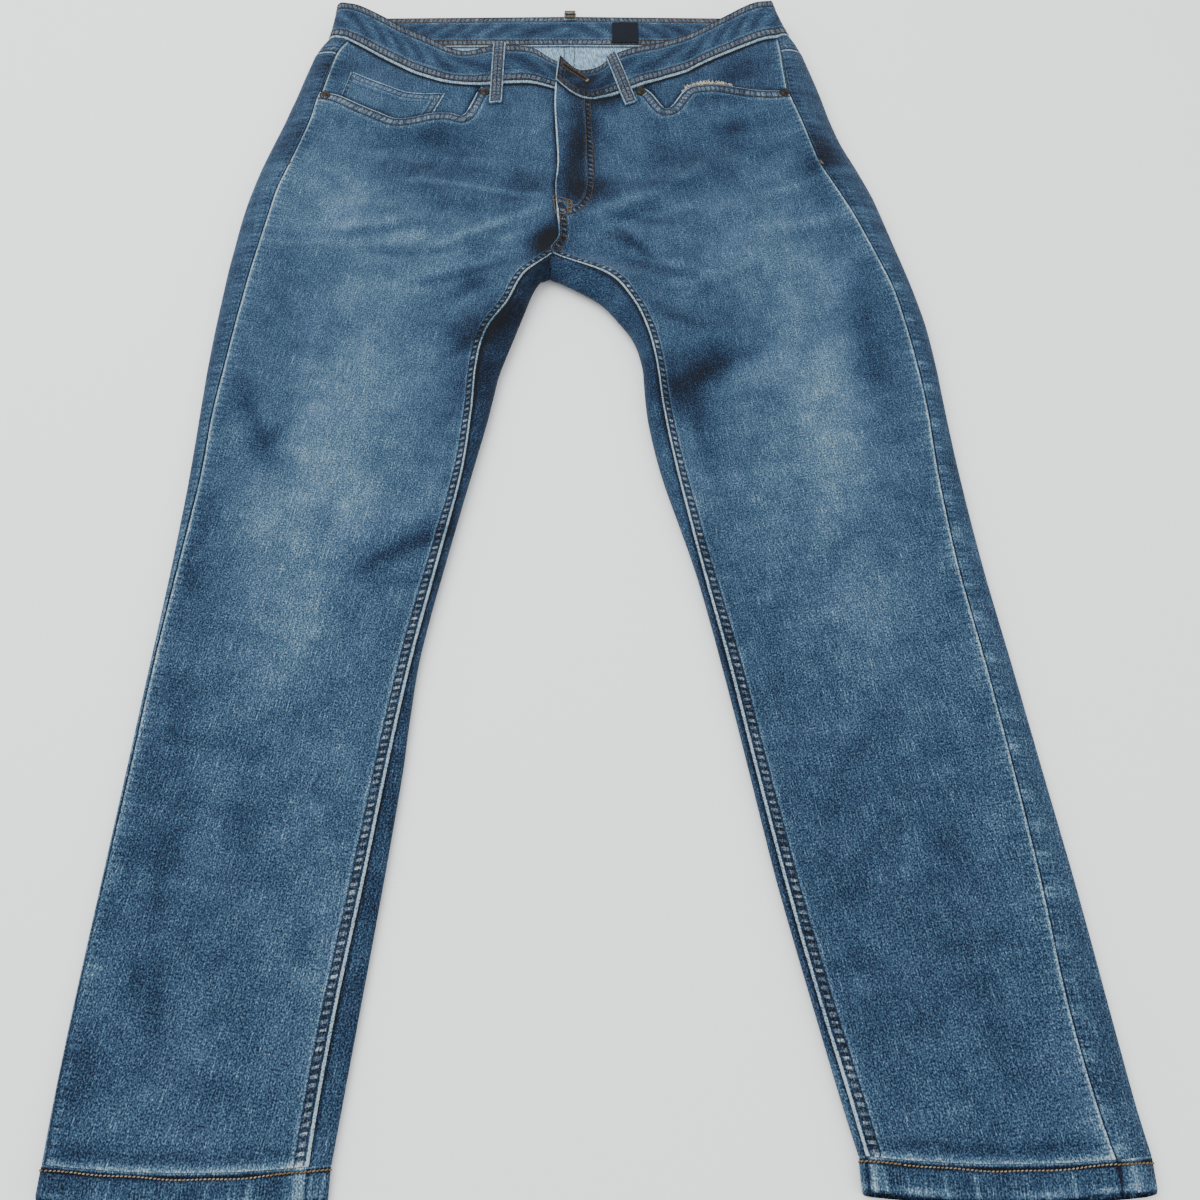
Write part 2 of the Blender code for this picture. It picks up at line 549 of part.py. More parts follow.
def back_panel(side):
    levels = back_levels()
    grid = back_grid(side, levels)
    normals = back_normals(grid, side, levels)
    grid[0, :, 1] += GAP
    grid[-1, :, 1] -= GAP
    wall("back_panel_" + side, grid, normals, DENIM, "denim_dark", turned=side == "R")


def back_yoke(side):
    levels = np.array([YOKE, YOKE + 0.5, WAIST])
    grid = back_grid(side, levels)
    normals = back_normals(grid, side, levels)
    grid[-1, :, 1] -= GAP
    wall("back_yoke_" + side, grid, normals, DENIM, "denim_dark", turned=side == "R")


def facing_surface(side, r, t):
    """Outer face of a pocket facing: t below 0 under the panel, 0 at the mouth, 1 at the waist seam.

    Under the panel it is the panel's own face, lowered; above the mouth it runs straight to the seam.
    """
    r, t = np.broadcast_arrays(np.asarray(r, float), np.asarray(t, float))
    under = front_surface(side, POCKET + FACING_UNDER * np.minimum(t, 0.0), r)
    under[..., 2] -= FACING_DROP
    share = columns(side)
    line = np.array([(w.x_seam, w.y_seam - GAP, w.z_seam - BAND_STEP) for w in WAIST_LINE[side]])
    seam = np.stack([np.interp(r, share, line[:, k]) for k in range(3)], axis=-1)
    up = np.maximum(t, 0.0)[..., None]
    return under + up * (seam - under)


def pocket_facing(side):
    """The facing's upper rows stop at the levels of the side seam, so that it follows that seam."""
    mouth = sum(w.x_mouth is not None for w in WAIST_LINE[side])
    r = columns(side)[:mouth].copy()
    r[0] += 0.002
    seam = [shape_at(side, POCKET + k) for k in (0.0, 0.5, 1.0, 1.5, 2.0)]
    rise = [(s.y_side - seam[0].y_side) / (seam[-1].y_side - seam[0].y_side) for s in seam]
    t = np.array([-1.0, -0.5] + rise)
    grid = facing_surface(side, r[None, :], t[:, None])
    for row, s in enumerate(seam):
        grid[row + 2, 0, 0] = s.x_side + SIGN[side] * GAP
    normals = np.zeros_like(grid) + (0.0, 0.0, 1.0)
    wall("pocket_facing_" + side, grid, normals, DENIM, "denim_light", turned=side == "L")


def coin_pocket():
    left, right_low, right_high = COIN_SHARES
    foot, top_left, top_right = COIN_HEIGHTS
    a = np.linspace(0.0, 1.0, 8)[None, :]
    b = np.linspace(0.0, 1.0, 6)[:, None]
    top = top_left + a * (top_right - top_left)
    r = left + a * (right_low + b * (right_high - right_low) - left)
    grid = facing_surface("R", r, foot + b * (top - foot))
    grid[..., 2] += GAP + COIN_CLOTH
    normals = np.zeros_like(grid) + (0.0, 0.0, 1.0)
    wall("coin_pocket", grid, normals, COIN_CLOTH, "denim")


def waistband(side):
    """From the front end, round the side fold, along the underside to the centre back."""
    sign = SIGN[side]
    v = np.linspace(0.0, 1.0, 4)[:, None]
    sections = len(WAIST_LINE[side]) + (len(UNDERLAP) if side == "R" else 0)
    front = band_point(side, np.arange(sections - 1.0, -1.0, -1.0)[None, :], v)
    first, s = WAIST_LINE[side][0], shape_at(side, WAIST)
    angles = np.linspace(0.0, np.pi, 7)[1:]
    seam = np.array([first.x_seam, first.y_seam, first.z_seam])
    top = np.array([first.x_top, first.y_top, first.z_top])
    low = fold(seam, np.array([s.x_fold, s.y_fold]), np.array([-sign, 0.0]), angles)
    high = fold(top, np.array(BAND_TOP_FOLD[side]), np.array([-sign, 0.0]), angles)
    side_fold = low + v[..., None] * (high - low)
    side_fold[..., 2] += BAND_LIFT * np.linspace(0.0, 1.0, len(angles))
    t = np.linspace(0.0, 1.0, 9)[1:, None]
    back_low = side_fold[0, -1] + t * (np.array([BACK_X, s.y_end, BAND_LIFT]) - side_fold[0, -1])
    back_high = side_fold[-1, -1] + t * (np.array([BACK_X, BAND_TOP_Y, BAND_LIFT]) - side_fold[-1, -1])
    back_low[-1, 0] -= sign * GAP / 2
    back_high[-1, 0] -= sign * GAP / 2
    back = back_low + v[..., None] * (back_high - back_low)
    grid = np.concatenate([front, side_fold, back], axis=1)
    normals = grid_normals(grid) * -sign
    normals[:, -1] = (0.0, 0.0, -1.0)
    wall("waistband_" + side, grid, normals, BAND, "denim", turned=side == "R")


def behind_fly(name, shares, drops, thickness, colour):
    """A strip behind the fly, made from the two fronts' own points, lowered."""
    levels = np.array([15.3, 16.0, 17.0, 18.0, 19.0, 19.5, 19.85])
    cols = []
    for side, r in shares:
        points = front_surface(side, levels, np.full(len(levels), r))
        points[:, 2] -= drops[side]
        cols.append(points)
    grid = np.stack(cols, axis=1)
    normals = np.zeros_like(grid) + (0.0, 0.0, 1.0)
    wall(name, grid, normals, thickness, colour)


def hem(side):
    """The turned-up end of a leg: the ring of both panels at the hem line, carried down 19 mm."""
    sign = SIGN[side]
    over = front_grid(side, np.array([0.0, 0.5]), columns(side))[0]
    under = back_row(side, 0.0, 6, 8)[::-1][1:-1]
    ring = np.vstack([over, under])
    ring[:, 1] = SHAPE[side][0].y_side
    height = ring[:, 2] / ring[:, 2].max()
    rows = []
    for run in np.linspace(0.0, 1.0, 4):
        row = ring.copy()
        row[:, 1] -= run * (HEM_DEPTH + HEM_PEEP * (1.0 - height))
        row[:, 2] += HEM_STEP * height
        rows.append(row)
    grid = np.array(rows)
    normals = grid_normals(grid, ring=True) * -sign
    normals[..., 1] = 0.0
    normals /= np.linalg.norm(normals, axis=-1, keepdims=True)
    wall("hem_" + side, grid, normals, HEM, "denim", ring=True, turned=side == "R")


def back_pocket(side):
    x = POCKET_X[side]
    outline = [(x - POCKET_TOP_HALF, POCKET_TOP_Y), (x - POCKET_LOW_HALF, POCKET_LOW_Y), (x, POCKET_POINT_Y),
               (x + POCKET_LOW_HALF, POCKET_LOW_Y), (x + POCKET_TOP_HALF, POCKET_TOP_Y)]
    prism("back_pocket_" + side, outline, 0.0, POCKET_CLOTH, "denim_dark")


def prism(name, outline, z_low, height, colour):
    """An upright prism on an outline given anticlockwise."""
    n = len(outline)
    points = [(x, y, z_low) for x, y in outline] + [(x, y, z_low + height) for x, y in outline]
    faces = [tuple(range(n))[::-1], tuple(range(n, 2 * n))]
    faces += [(k, (k + 1) % n, (k + 1) % n + n, k + n) for k in range(n)]
    return add_mesh(name, points, faces, colour)


def back_loop(name, x, path):
    grid = np.array([[(x - LOOP_HALF, p.y, p.z), (x, p.y, p.z), (x + LOOP_HALF, p.y, p.z)]
                     for p in path])
    wall(name, grid, -grid_normals(grid), LOOP_CLOTH, "denim_dark", turned=True)


def front_loop(name, loop):
    """Rows across the band from its top edge to the seam, then down the panel, all moved out."""
    share = columns(loop.side)
    spacing = np.linalg.norm(band_point(loop.side, np.array(loop.w_low + 0.5), np.array(0.5))
                             - band_point(loop.side, np.array(loop.w_low - 0.5), np.array(0.5)))
    half = SIGN[loop.side] * LOOP_HALF / spacing
    rows = []
    for v in (1.0, 0.75, 0.5, 0.25, 0.0):
        w = loop.w_low + v * (loop.w_top - loop.w_low)
        rows.append(band_point(loop.side, w + half * np.array([-1.0, 0.0, 1.0]), np.full(3, v)))
    up = rows[0] - rows[1]
    up = up / np.linalg.norm(up, axis=1, keepdims=True)
    down = (rows[-1][1, :2] - rows[0][1, :2])
    down = down / np.hypot(*down)
    panel = front_surface(loop.side, np.array([POCKET - 0.5, POCKET - 0.9]),
                          np.full(2, np.interp(loop.w_low, np.arange(len(share)), share)))
    for run, below in ((0.45, panel[0]), (1.0, panel[1])):
        row = rows[4].copy()
        row[:, :2] += run * loop.drop * down
        row[:, 2] += below[2] - rows[4][1, 2] + 0.0004
        rows.append(row)
    for row in rows:
        row[:, 2] += LOOP_AIR + LOOP_CLOTH
    wrap = [rows[0] + up * 0.0042 - (0.0, 0.0, 0.0042), rows[0] + up * 0.0030 - (0.0, 0.0, 0.0012)]
    grid = np.array(wrap + rows)
    wall(name, grid, -grid_normals(grid), LOOP_CLOTH, "denim_light", turned=True)


def turned_disc(name, centre, normal, profile, sides, colour):
    """A solid of revolution about normal from (radius, height) pairs, closed by flat caps."""
    normal = normal / np.linalg.norm(normal)
    one = np.cross((0.0, 1.0, 0.0), normal)
    one /= np.linalg.norm(one)
    two = np.cross(normal, one)
    points = []
    for radius, height in profile:
        for k in range(sides):
            a = 2.0 * np.pi * k / sides
            points.append(centre + radius * (np.cos(a) * one + np.sin(a) * two) + height * normal)
    faces = [tuple(range(sides))[::-1], tuple(range(len(points) - sides, len(points)))]
    for ring in range(len(profile) - 1):
        for k in range(sides):
            a, b = ring * sides + k, ring * sides + (k + 1) % sides
            faces.append((a, b, b + sides, a + sides))
    return add_mesh(name, points, faces, colour)


def seat_on(points, x, y, reach, clearance):
    """Where a small disc sits: over the highest of the points within reach of (x, y)."""
    flat = points.reshape(-1, 3)
    near = flat[np.hypot(flat[:, 0] - x, flat[:, 1] - y) < reach]
    return np.array([x, y, near[:, 2].max() + clearance])


def rivet(name, side, x, y):
    u = np.linspace(POCKET - 1.5, POCKET, 16)[:, None]
    points = front_surface(side, u, np.linspace(0.0, 1.0, 120)[None, :])
    seat = seat_on(points, x, y, RIVET_RADIUS + 0.0005, GAP)
    r, h = RIVET_RADIUS, RIVET_HEIGHT
    profile = [(r, 0.0), (r, 0.4 * h), (0.82 * r, 0.9 * h), (0.5 * r, h)]
    turned_disc(name, seat, np.array([0.0, 0.0, 1.0]), profile, 20, "metal")


def waist_button():
    w = np.linspace(12.5, 15.0, 40)[None, :]
    points = band_point("R", w, np.linspace(0.1, 0.9, 30)[:, None])
    seat = seat_on(points, *BUTTON_PLACE, BUTTON_RADIUS + 0.0005, GAP)
    r, h = BUTTON_RADIUS, BUTTON_HEIGHT
    profile = [(0.55 * r, 0.0), (0.6 * r, 0.25 * h), (r, 0.4 * h), (r, 0.75 * h), (0.88 * r, h)]
    turned_disc("waist_button", seat, np.array([0.0, 0.0, 1.0]), profile, 24, "metal")


def size_label():
    (x0, y0), (x1, y1) = LABEL_BOX
    prism("size_label", [(x0, y0), (x1, y0), (x1, y1), (x0, y1)], BAND_LIFT + BAND + GAP, LABEL_CLOTH, "label")


def finish():
    """Move the whole garment so that the origin lies under its middle."""
    for obj in bpy.context.collection.objects:
        for v in obj.data.vertices:
            v.co.y -= MIDDLE_Y


def main():
    for obj in list(bpy.data.objects):
        bpy.data.objects.remove(obj)
    for side in ("R", "L"):
        front_panel(side)
        back_panel(side)
        back_yoke(side)
        pocket_facing(side)
        waistband(side)
        hem(side)
        back_pocket(side)
    coin_pocket()
    behind_fly("fly_underlap", [("R", .90), ("R", .96), ("R", 1.0), ("L", .90), ("L", .83)],
               UNDERLAP_DROP, DENIM, "denim_dark")
    behind_fly("zip", [("L", .975), ("L", .93), ("L", .885)], {"L": ZIP_DROP}, ZIP_CLOTH, "label")
    for name, (x, path) in BACK_LOOPS.items():
        back_loop(name, x, path)
    for name, loop in FRONT_LOOPS.items():
        front_loop(name, loop)
    for name, place in RIVETS.items():
        rivet(name, *place)
    waist_button()
    size_label()
    finish()


main()
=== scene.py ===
import math

import bpy
import numpy as np
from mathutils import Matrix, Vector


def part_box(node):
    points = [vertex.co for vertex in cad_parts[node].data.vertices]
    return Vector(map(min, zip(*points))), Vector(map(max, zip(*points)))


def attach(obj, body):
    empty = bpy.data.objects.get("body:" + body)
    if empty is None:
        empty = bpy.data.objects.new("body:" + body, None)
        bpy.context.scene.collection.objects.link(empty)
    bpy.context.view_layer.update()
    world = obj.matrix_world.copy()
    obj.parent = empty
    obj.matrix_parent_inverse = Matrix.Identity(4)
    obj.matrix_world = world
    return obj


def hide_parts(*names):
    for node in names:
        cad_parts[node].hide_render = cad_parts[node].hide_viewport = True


# Slim fit jeans laid flat on their back. Metres, +Z up, +Y from the hems to the waist, +X to the
# wearer's left. R and L are the wearer's own. Heights up the garment are worked out from the hems and
# moved by middleY when a mesh is made. A level runs up each leg: 0 hem, 13 crotch, 20 pocket mouth,
# 21 yoke seam, 22 waist seam.

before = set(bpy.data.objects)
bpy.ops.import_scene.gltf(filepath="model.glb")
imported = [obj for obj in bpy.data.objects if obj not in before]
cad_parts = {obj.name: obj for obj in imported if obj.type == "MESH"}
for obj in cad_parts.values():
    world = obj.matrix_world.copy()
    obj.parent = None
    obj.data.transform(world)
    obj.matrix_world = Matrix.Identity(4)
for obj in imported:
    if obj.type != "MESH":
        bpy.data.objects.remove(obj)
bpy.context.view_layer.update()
print("stage 1: frame loaded")

view = {"place": (0.0, -0.524, 0.832), "tilt": 26.0, "lens": 36.0, "sensor": 36.0}
studio = {"sky": "#f4f6f8", "skyStrength": 1.3, "floor": "#f1f2f2",
          "keyPower": 58.0, "keySize": 2.2, "keyPlace": (-0.9, 0.8, 2.0),
          "fillPower": 14.0, "fillSize": 2.0, "fillPlace": (1.4, -1.2, 1.8)}

middleY = 0.5345
gap = 0.0003
denimThick, bandThick, hemThick = 0.0011, 0.0026, 0.0021
crotch, pocket, yoke, waist = 13, 20, 21, 22
sideSign = {"R": 1.0, "L": -1.0}
lay = {"crown": 0.03, "foldRise": 0.45, "foldRun": 1.5, "mouthRise": 4.0, "mouthBend": 1.5,
       "flyStep": 0.0008, "flyShare": (0.75, 0.1), "bandStep": 0.0008,
       "seatSpread": 1.2, "seatRun": 0.014, "seatBack": 0.016,
       "hemDepth": 0.019, "hemPeep": 0.0035, "hemStep": 0.0006, "hemSag": 0.005, "sagMiddle": 0.6,
       "sagFade": 0.8}
lineCount = 700  # points in a fine line along a panel's top

# One row a level: side seam y, side fold x y, side seam x z, middle z, inseam or centre front x y z,
# inner fold or centre back x y.
rowNames = "ySide xFold yFold xSide zSide zMid xIn yIn zIn xEnd yEnd".split()
legRows = {
    "R": [
        (.02, -.348, .02, -.344, .0095, .0072, -.1806, .02, .0095, -.1675, .02),
        (.06, -.348, .06, -.345, .0085, .0052, -.1778, .06, .0095, -.1635, .06),
        (.12, -.3465, .12, -.3435, .008, .0044, -.1717, .12, .0095, -.157, .12),
        (.2, -.343, .2, -.34, .008, .0042, -.1612, .2, .01, -.1485, .2),
        (.28, -.3395, .28, -.336, .008, .0042, -.1515, .28, .01, -.141, .28),
        (.36, -.336, .36, -.332, .009, .0044, -.1403, .36, .0105, -.1355, .36),
        (.44, -.3325, .44, -.326, .0108, .0048, -.1256, .44, .012, -.121, .44),
        (.52, -.331, .52, -.32, .012, .0055, -.1108, .52, .014, -.1045, .52),
        (.58, -.331, .58, -.3185, .0135, .0065, -.1052, .58, .016, -.092, .58),
        (.63, -.331, .63, -.3145, .015, .008, -.103, .628, .018, -.084, .625),
        (.67, -.33, .67, -.311, .0165, .0092, -.096, .663, .019, -.0735, .66),
        (.705, -.3285, .705, -.3075, .0175, .0104, -.079, .692, .02, -.065, .688),
        (.735, -.327, .735, -.304, .0185, .0115, -.0655, .722, .0208, -.0585, .709),
        (.762, -.3248, .762, -.3003, .0192, .0122, -.0415, .744, .0215, -.052, .722),
        (.79, -.3225, .79, -.2965, .0198, .0124, -.037, .765, .0212, -.044, .7265),
        (.82, -.3185, .82, -.2925, .02, .0122, -.0385, .79, .0208, -.044, .743),
        (.85, -.313, .85, -.285, .02, .0118, -.0405, .822, .02, -.0435, .78),
        (.88, -.3058, .88, -.2775, .02, .0114, -.0392, .855, .019, -.042, .825),
        (.908, -.2985, .908, -.2712, .0202, .0112, -.041, .888, .0178, -.04, .865),
        (.928, -.294, .928, -.2685, .0204, .0114, -.043, .925, .0162, -.038, .9),
        (.9425, -.2905, .9425, -.2655, .0206, .0118, -.0425, .9552, .015, -.036, .925),
        (.993, -.2785, .9985, -.2555, .021, .013, -.0425, .9552, .015, -.033, .955),
        (1.0127, -.267, 1.0222, -.2455, .0215, .014, -.0425, .9552, .015, -.03, 1.0242),
    ],
    "L": [
        (.025, .345, .025, .32, .0115, .0072, .1655, .025, .0095, .162, .025),
        (.06, .3405, .06, .3135, .011, .0052, .158, .06, .009, .1535, .06),
        (.12, .3345, .12, .306, .011, .0044, .1435, .12, .009, .1395, .12),
        (.2, .3265, .2, .3015, .011, .0042, .126, .2, .009, .1215, .2),
        (.28, .317, .28, .2945, .0112, .0042, .1105, .28, .0095, .1065, .28),
        (.36, .3075, .36, .286, .012, .0044, .0955, .36, .01, .091, .36),
        (.44, .2975, .44, .276, .013, .0048, .0785, .44, .0115, .0735, .44),
        (.52, .29, .52, .2705, .0145, .0055, .0625, .52, .014, .0505, .52),
        (.58, .286, .58, .269, .016, .0065, .0525, .58, .016, .039, .58),
        (.63, .2835, .63, .265, .0172, .008, .047, .63, .018, .0355, .63),
        (.67, .28, .67, .26, .018, .0092, .0395, .666, .019, .029, .656),
        (.705, .274, .705, .254, .019, .0104, .027, .696, .02, .0165, .677),
        (.735, .2675, .735, .245, .02, .0115, .006, .722, .0208, -.002, .7),
        (.762, .261, .762, .236, .0208, .0122, -.0415, .744, .0215, -.031, .719),
        (.79, .2545, .79, .2262, .0215, .0124, -.037, .765, .0212, -.044, .7265),
        (.82, .247, .82, .2138, .022, .0122, -.0385, .79, .0208, -.044, .743),
        (.85, .2368, .85, .201, .0225, .0118, -.0405, .822, .02, -.0435, .78),
        (.88, .2255, .88, .1935, .0228, .0114, -.0392, .855, .019, -.042, .825),
        (.908, .218, .908, .187, .023, .0114, -.041, .888, .0178, -.04, .865),
        (.928, .2138, .928, .1815, .0232, .0118, -.043, .925, .0162, -.038, .9),
        (.943, .211, .943, .178, .0233, .0124, -.0425, .9552, .015, -.036, .925),
        (.993, .1975, .9985, .1745, .0236, .014, -.0425, .9552, .015, -.033, .955),
        (1.0127, .187, 1.0222, .1725, .024, .015, -.0425, .9552, .015, -.03, 1.0242),
    ],
}
# Sections of the waist from the side seam to the centre front: band seam x y z, band top x y z, pocket
# mouth x y.
waistRows = {
    "R": [
        (-.2455, 1.013, .0215, -.2515, 1.06, .0255, -.2655, .9425),
        (-.233, 1.005, .021, -.2375, 1.0565, .0253, -.248, .939),
        (-.213, .9915, .02, -.216, 1.044, .0243, -.227, .928),
        (-.196, .981, .0192, -.1985, 1.0325, .023, -.208, .9185),
        (-.18, .9715, .0185, -.182, 1.024, .0215, -.192, .9115),
        (-.164, .965, .0177, -.165, 1.015, .0205, -.176, .914),
        (-.149, .9605, .017, -.15, 1.0055, .0197, -.158, .92),
        (-.135, .9585, .0165, -.135, 1.0000, .019, -.14, .9205),
        (-.124, .9578, .0162, -.123, 1.001, .019, -.128, .9185),
        (-.115, .9578, .016, -.113, 1.004, .0195, -.116, .951),
        (-.102, .9585, .016, -.101, 1.0065, .0205, None, None),
        (-.087, .96, .016, -.086, 1.006, .0205, None, None),
        (-.066, .961, .0152, -.066, 1.0055, .018, None, None),
        (-.0425, .9545, .0138, -.047, .995, .0138, None, None),
    ],
    "L": [
        (.1725, 1.013, .024, .1665, 1.06, .0275, .178, .9425),
        (.159, 1.0108, .0235, .153, 1.0585, .027, .164, .942),
        (.143, 1.004, .0225, .139, 1.0515, .0262, .146, .9445),
        (.127, .9965, .0215, .1245, 1.042, .0254, .128, .9495),
        (.111, .9885, .0206, .1095, 1.032, .0246, .111, .9535),
        (.096, .98, .0198, .095, 1.0225, .0238, .095, .9535),
        (.084, .972, .0192, .083, 1.0165, .023, .0855, .9515),
        (.073, .9675, .0187, .0725, 1.0125, .0226, .077, .944),
        (.065, .9648, .0184, .064, 1.0092, .0224, .07, .931),
        (.057, .9618, .018, .056, 1.0065, .0221, .062, .924),
        (.049, .9592, .0177, .048, 1.005, .022, .0525, .94),
        (.0415, .9568, .0174, .04, 1.003, .022, .044, .951),
        (.029, .9508, .017, .027, .999, .0215, None, None),
        (.015, .944, .0167, .013, .993, .02, None, None),
        (.002, .9395, .017, .002, .9815, .0185, None, None),
        (-.011, .9355, .0185, -.009, .9745, .019, None, None),
        (-.026, .94, .0218, -.023, .9715, .0222, None, None),
        (-.0425, .957, .0225, -.0395, .988, .025, None, None),
    ],
}
underlapRows = [(-.025, .947, .0118, -.028, .986, .0115), (-.006, .942, .009, -.008, .979, .0082)]

# Large soft folds: x0 y0 x1 y1 height width. They fade out past their ends by (reach, softness).
creaseEnds = (.02, .05)
creases = np.array([
    (-.07, .79, -.215, .868, .0032, .013),
    (-.075, .762, -.255, .812, .0034, .014),
    (-.09, .728, -.27, .752, .0026, .015),
    (-.12, .668, -.24, .69, .0024, .017),
    (-.01, .785, .12, .868, .0032, .013),
    (0, .758, .17, .815, .0034, .014),
    (.03, .722, .19, .755, .0026, .015),
    (.07, .66, .185, .688, .0024, .017),
    (-.22, .61, -.235, .33, .0028, .034),
    (.16, .6, .19, .33, .0028, .034),
    (-.165, .478, -.262, .462, .002, .014),
    (-.18, .428, -.29, .402, .0018, .015),
    (.105, .48, .2, .458, .002, .014),
    (.12, .415, .235, .398, .0018, .015),
    (-.24, .15, -.262, .06, .002, .026),
    (.225, .165, .245, .06, .002, .026),
    (-.06, .935, -.2, .895, .0016, .014),
    (.02, .925, .13, .895, .0016, .014),
])
# Crossed waves of loose cloth: share, turns along x and y, start.
looseHeight = 0.00028
looseWaves = [
    (1., 61, 23, 1.1), (1., -34, 71, .4), (.7, 118, -47, 2.), (.6, 29, 134, 4.2), (.4, 171, 88, .9),
]
bandTopFold = {"R": (-.262, 1.064), "L": (.1722, 1.064)}
backPlace = {"backX": -0.03, "bandTopY": 1.0668, "bandLift": 0.0019, "liftFrom": 0.975, "liftTo": 1.012,
             "bandCrown": 0.001, "pocketX": {"R": -0.155, "L": 0.075}, "pocketTopHalf": 0.074,
             "pocketLowHalf": 0.066, "pocketLowY": 0.79, "pocketPointY": 0.772, "pocketTopY": 0.925,
             "pocketThick": 0.001, "pocketLift": 0.0014, "pocketMargin": 0.016, "pocketFlat": 0.6}

# Wear of the wash and painted shade in folds and hollows: x y, half sizes, turn in degrees, amount (light
# above zero, dark below). The light patches are faded wear; the dark ones are partly darker dye and partly
# painted shade.
washAndShade = {"pale": 0.5, "dark": 0.66, "smudgeAndShade": 0.4, "bow": 0.004, "lineEnds": (0.01, 0.03)}
washAndShadePatches = np.array([
    (-.245, .814, .05, .055, 0, .3), (-.178, .761, .053, .029, -15, .2), (-.224, .555, .041, .146, -8, .4),
    (-.174, .595, .029, .091, -5, .16), (-.227, .402, .029, .059, 0, .22),
    (-.168, .772, .022, .008, 5, .22), (.142, .761, .049, .036, -20, .24), (.184, .667, .043, .075, 0, .3),
    (.186, .546, .034, .116, 5, .38), (.205, .41, .03, .06, -18, .22), (.08, .527, .016, .057, 10, .16),
    (.118, .595, .015, .06, 0, .1), (.174, .839, .032, .025, 30, .15), (-.278, .864, .019, .051, -20, .15),
    (-.274, .482, .018, .034, 0, .2), (-.19, .495, .03, .022, 0, .26), (.134, .48, .018, .04, 10, .18),
    (-.184, .02, .006, .018, 0, .5), (-.199, .812, .03, .008, 0, .16), (-.158, .876, .022, .009, 0, .14),
    (-.217, .712, .05, .02, 5, .1), (.14, .804, .02, .008, 0, .12), (-.165, .718, .03, .01, 6, .26),
    (-.205, .2, .04, .07, 0, .08), (-.245, .852, .02, .006, 5, .16), (-.143, .648, .018, .02, 0, .16),
    (-.294, .568, .008, .02, -10, .16), (-.136, .516, .01, .03, -15, .2), (.125, .622, .025, .012, 15, .2),
    (.196, .722, .014, .02, 0, .18), (.318, .034, .009, .018, 10, .26), (.158, .06, .008, .03, 12, .35),
    (-.186, .135, .008, .05, -5, .16), (-.14, .734, .035, .007, 8, .2), (.137, .54, .025, .02, 20, .18),
    (.205, .69, .012, .045, 0, .12), (.223, .185, .02, .05, 10, .12), (-.238, .335, .014, .04, -8, .12),
    (-.194, .3, .016, .03, 0, .1), (-.157, .857, .055, .044, 0, -.2), (-.1, .672, .038, .018, 35, -.38),
    (-.112, .611, .012, .022, -15, -.25), (-.16, .455, .04, .01, 30, -.3),
    (-.304, .185, .011, .085, -5, -.16), (-.048, .756, .014, .019, 0, -.85),
    (-.318, .27, .014, .11, -8, -.16), (-.292, .12, .009, .032, 0, -.16),
    (-.328, .014, .019, .016, 0, -.26), (-.172, .757, .024, .006, 4, -.2), (.12, .679, .02, .01, 0, -.14),
    (.076, .643, .022, .014, 20, -.16), (.036, .797, .025, .012, 0, -.16), (.118, .938, .045, .01, 4, -.22),
    (.004, .938, .026, .014, 0, -.4), (-.104, .944, .022, .012, 0, -.22),
    (-.268, .563, .009, .018, -20, -.18), (-.22, .484, .012, .018, 0, -.14),
    (-.315, .445, .01, .055, 0, -.18), (-.219, .322, .012, .014, 0, -.12), (.086, .444, .01, .03, 12, -.14),
    (.182, .663, .014, .016, 0, -.16), (.234, .626, .012, .03, 10, -.14),
    (.194, .846, .018, .022, 20, -.34), (-.106, .761, .018, .008, 20, -.24),
    (.018, .762, .022, .008, -20, -.24), (-.036, .77, .012, .014, 0, -.45),
    (-.026, .868, .012, .048, 0, -.34), (-.002, .828, .018, .018, 0, -.34),
    (.128, .902, .022, .009, 10, -.28), (.092, .628, .032, .014, 35, -.55),
    (.062, .598, .014, .025, 15, -.42), (.219, .471, .02, .036, 0, -.12), (.19, .184, .081, .149, 8, -.12),
    (.052, .735, .036, .009, -15, -.26), (-.014, .892, .012, .05, -4, -.52),
    (.082, .575, .008, .049, 8, -.22), (.222, .68, .03, .05, 10, -.22), (.205, .865, .011, .032, 22, -.34),
    (.134, .97, .022, .016, 0, -.45), (-.15, .897, .036, .011, 4, -.14), (-.279, .88, .013, .03, -15, -.3),
    (-.252, .975, .018, .016, 0, -.4), (-.07, .829, .022, .018, 0, -.3), (-.022, .82, .016, .02, 0, -.45),
    (.064, .833, .022, .007, 10, -.28), (-.205, .777, .03, .006, 5, -.24),
    (-.11, .716, .022, .007, 25, -.26), (-.338, .075, .013, .03, 0, -.26), (.098, .36, .011, .05, 12, -.2),
    (.093, .864, .046, .031, 10, -.14), (-.248, .164, .047, .113, -5, -.06), (.055, .88, .02, .03, 0, -.1),
    (.245, .17, .02, .08, 10, -.1),
])
# Worn lines (light) and lines of painted shade (dark) along folds: x0 y0 x1 y1 width amount.
wearAndShadeLines = np.array([
    (-.05, .814, -.183, .839, .004, .16), (-.05, .8, -.151, .756, .006, .14),
    (-.054, .773, -.15, .742, .006, .12), (-.269, .785, -.162, .793, .006, .1),
    (-.251, .876, -.093, .864, .006, .06), (-.009, .797, .092, .851, .006, .12),
    (0, .767, .105, .727, .006, .12), (0, .781, .091, .814, .006, .1), (.052, .716, .141, .744, .006, .1),
    (.013, .785, .053, .742, .004, -.16), (.035, .699, .102, .667, .007, -.14),
    (-.174, .716, -.079, .742, .005, -.15), (-.135, .635, -.082, .678, .007, -.16),
    (-.156, .458, -.102, .48, .006, -.12), (-.161, .427, -.115, .436, .005, -.1),
    (-.293, .761, -.241, .769, .004, .1), (.146, .821, .24, .851, .006, .1),
    (.126, .785, .252, .797, .006, .08), (-.304, .616, -.256, .525, .009, -.13),
    (.01, .8, .075, .786, .005, -.1), (-.205, .752, -.125, .756, .005, -.12),
    (.212, .48, .178, .43, .009, -.1), (-.24, .33, -.252, .215, .01, -.06),
    (.105, .205, .128, .12, .006, -.05),
])


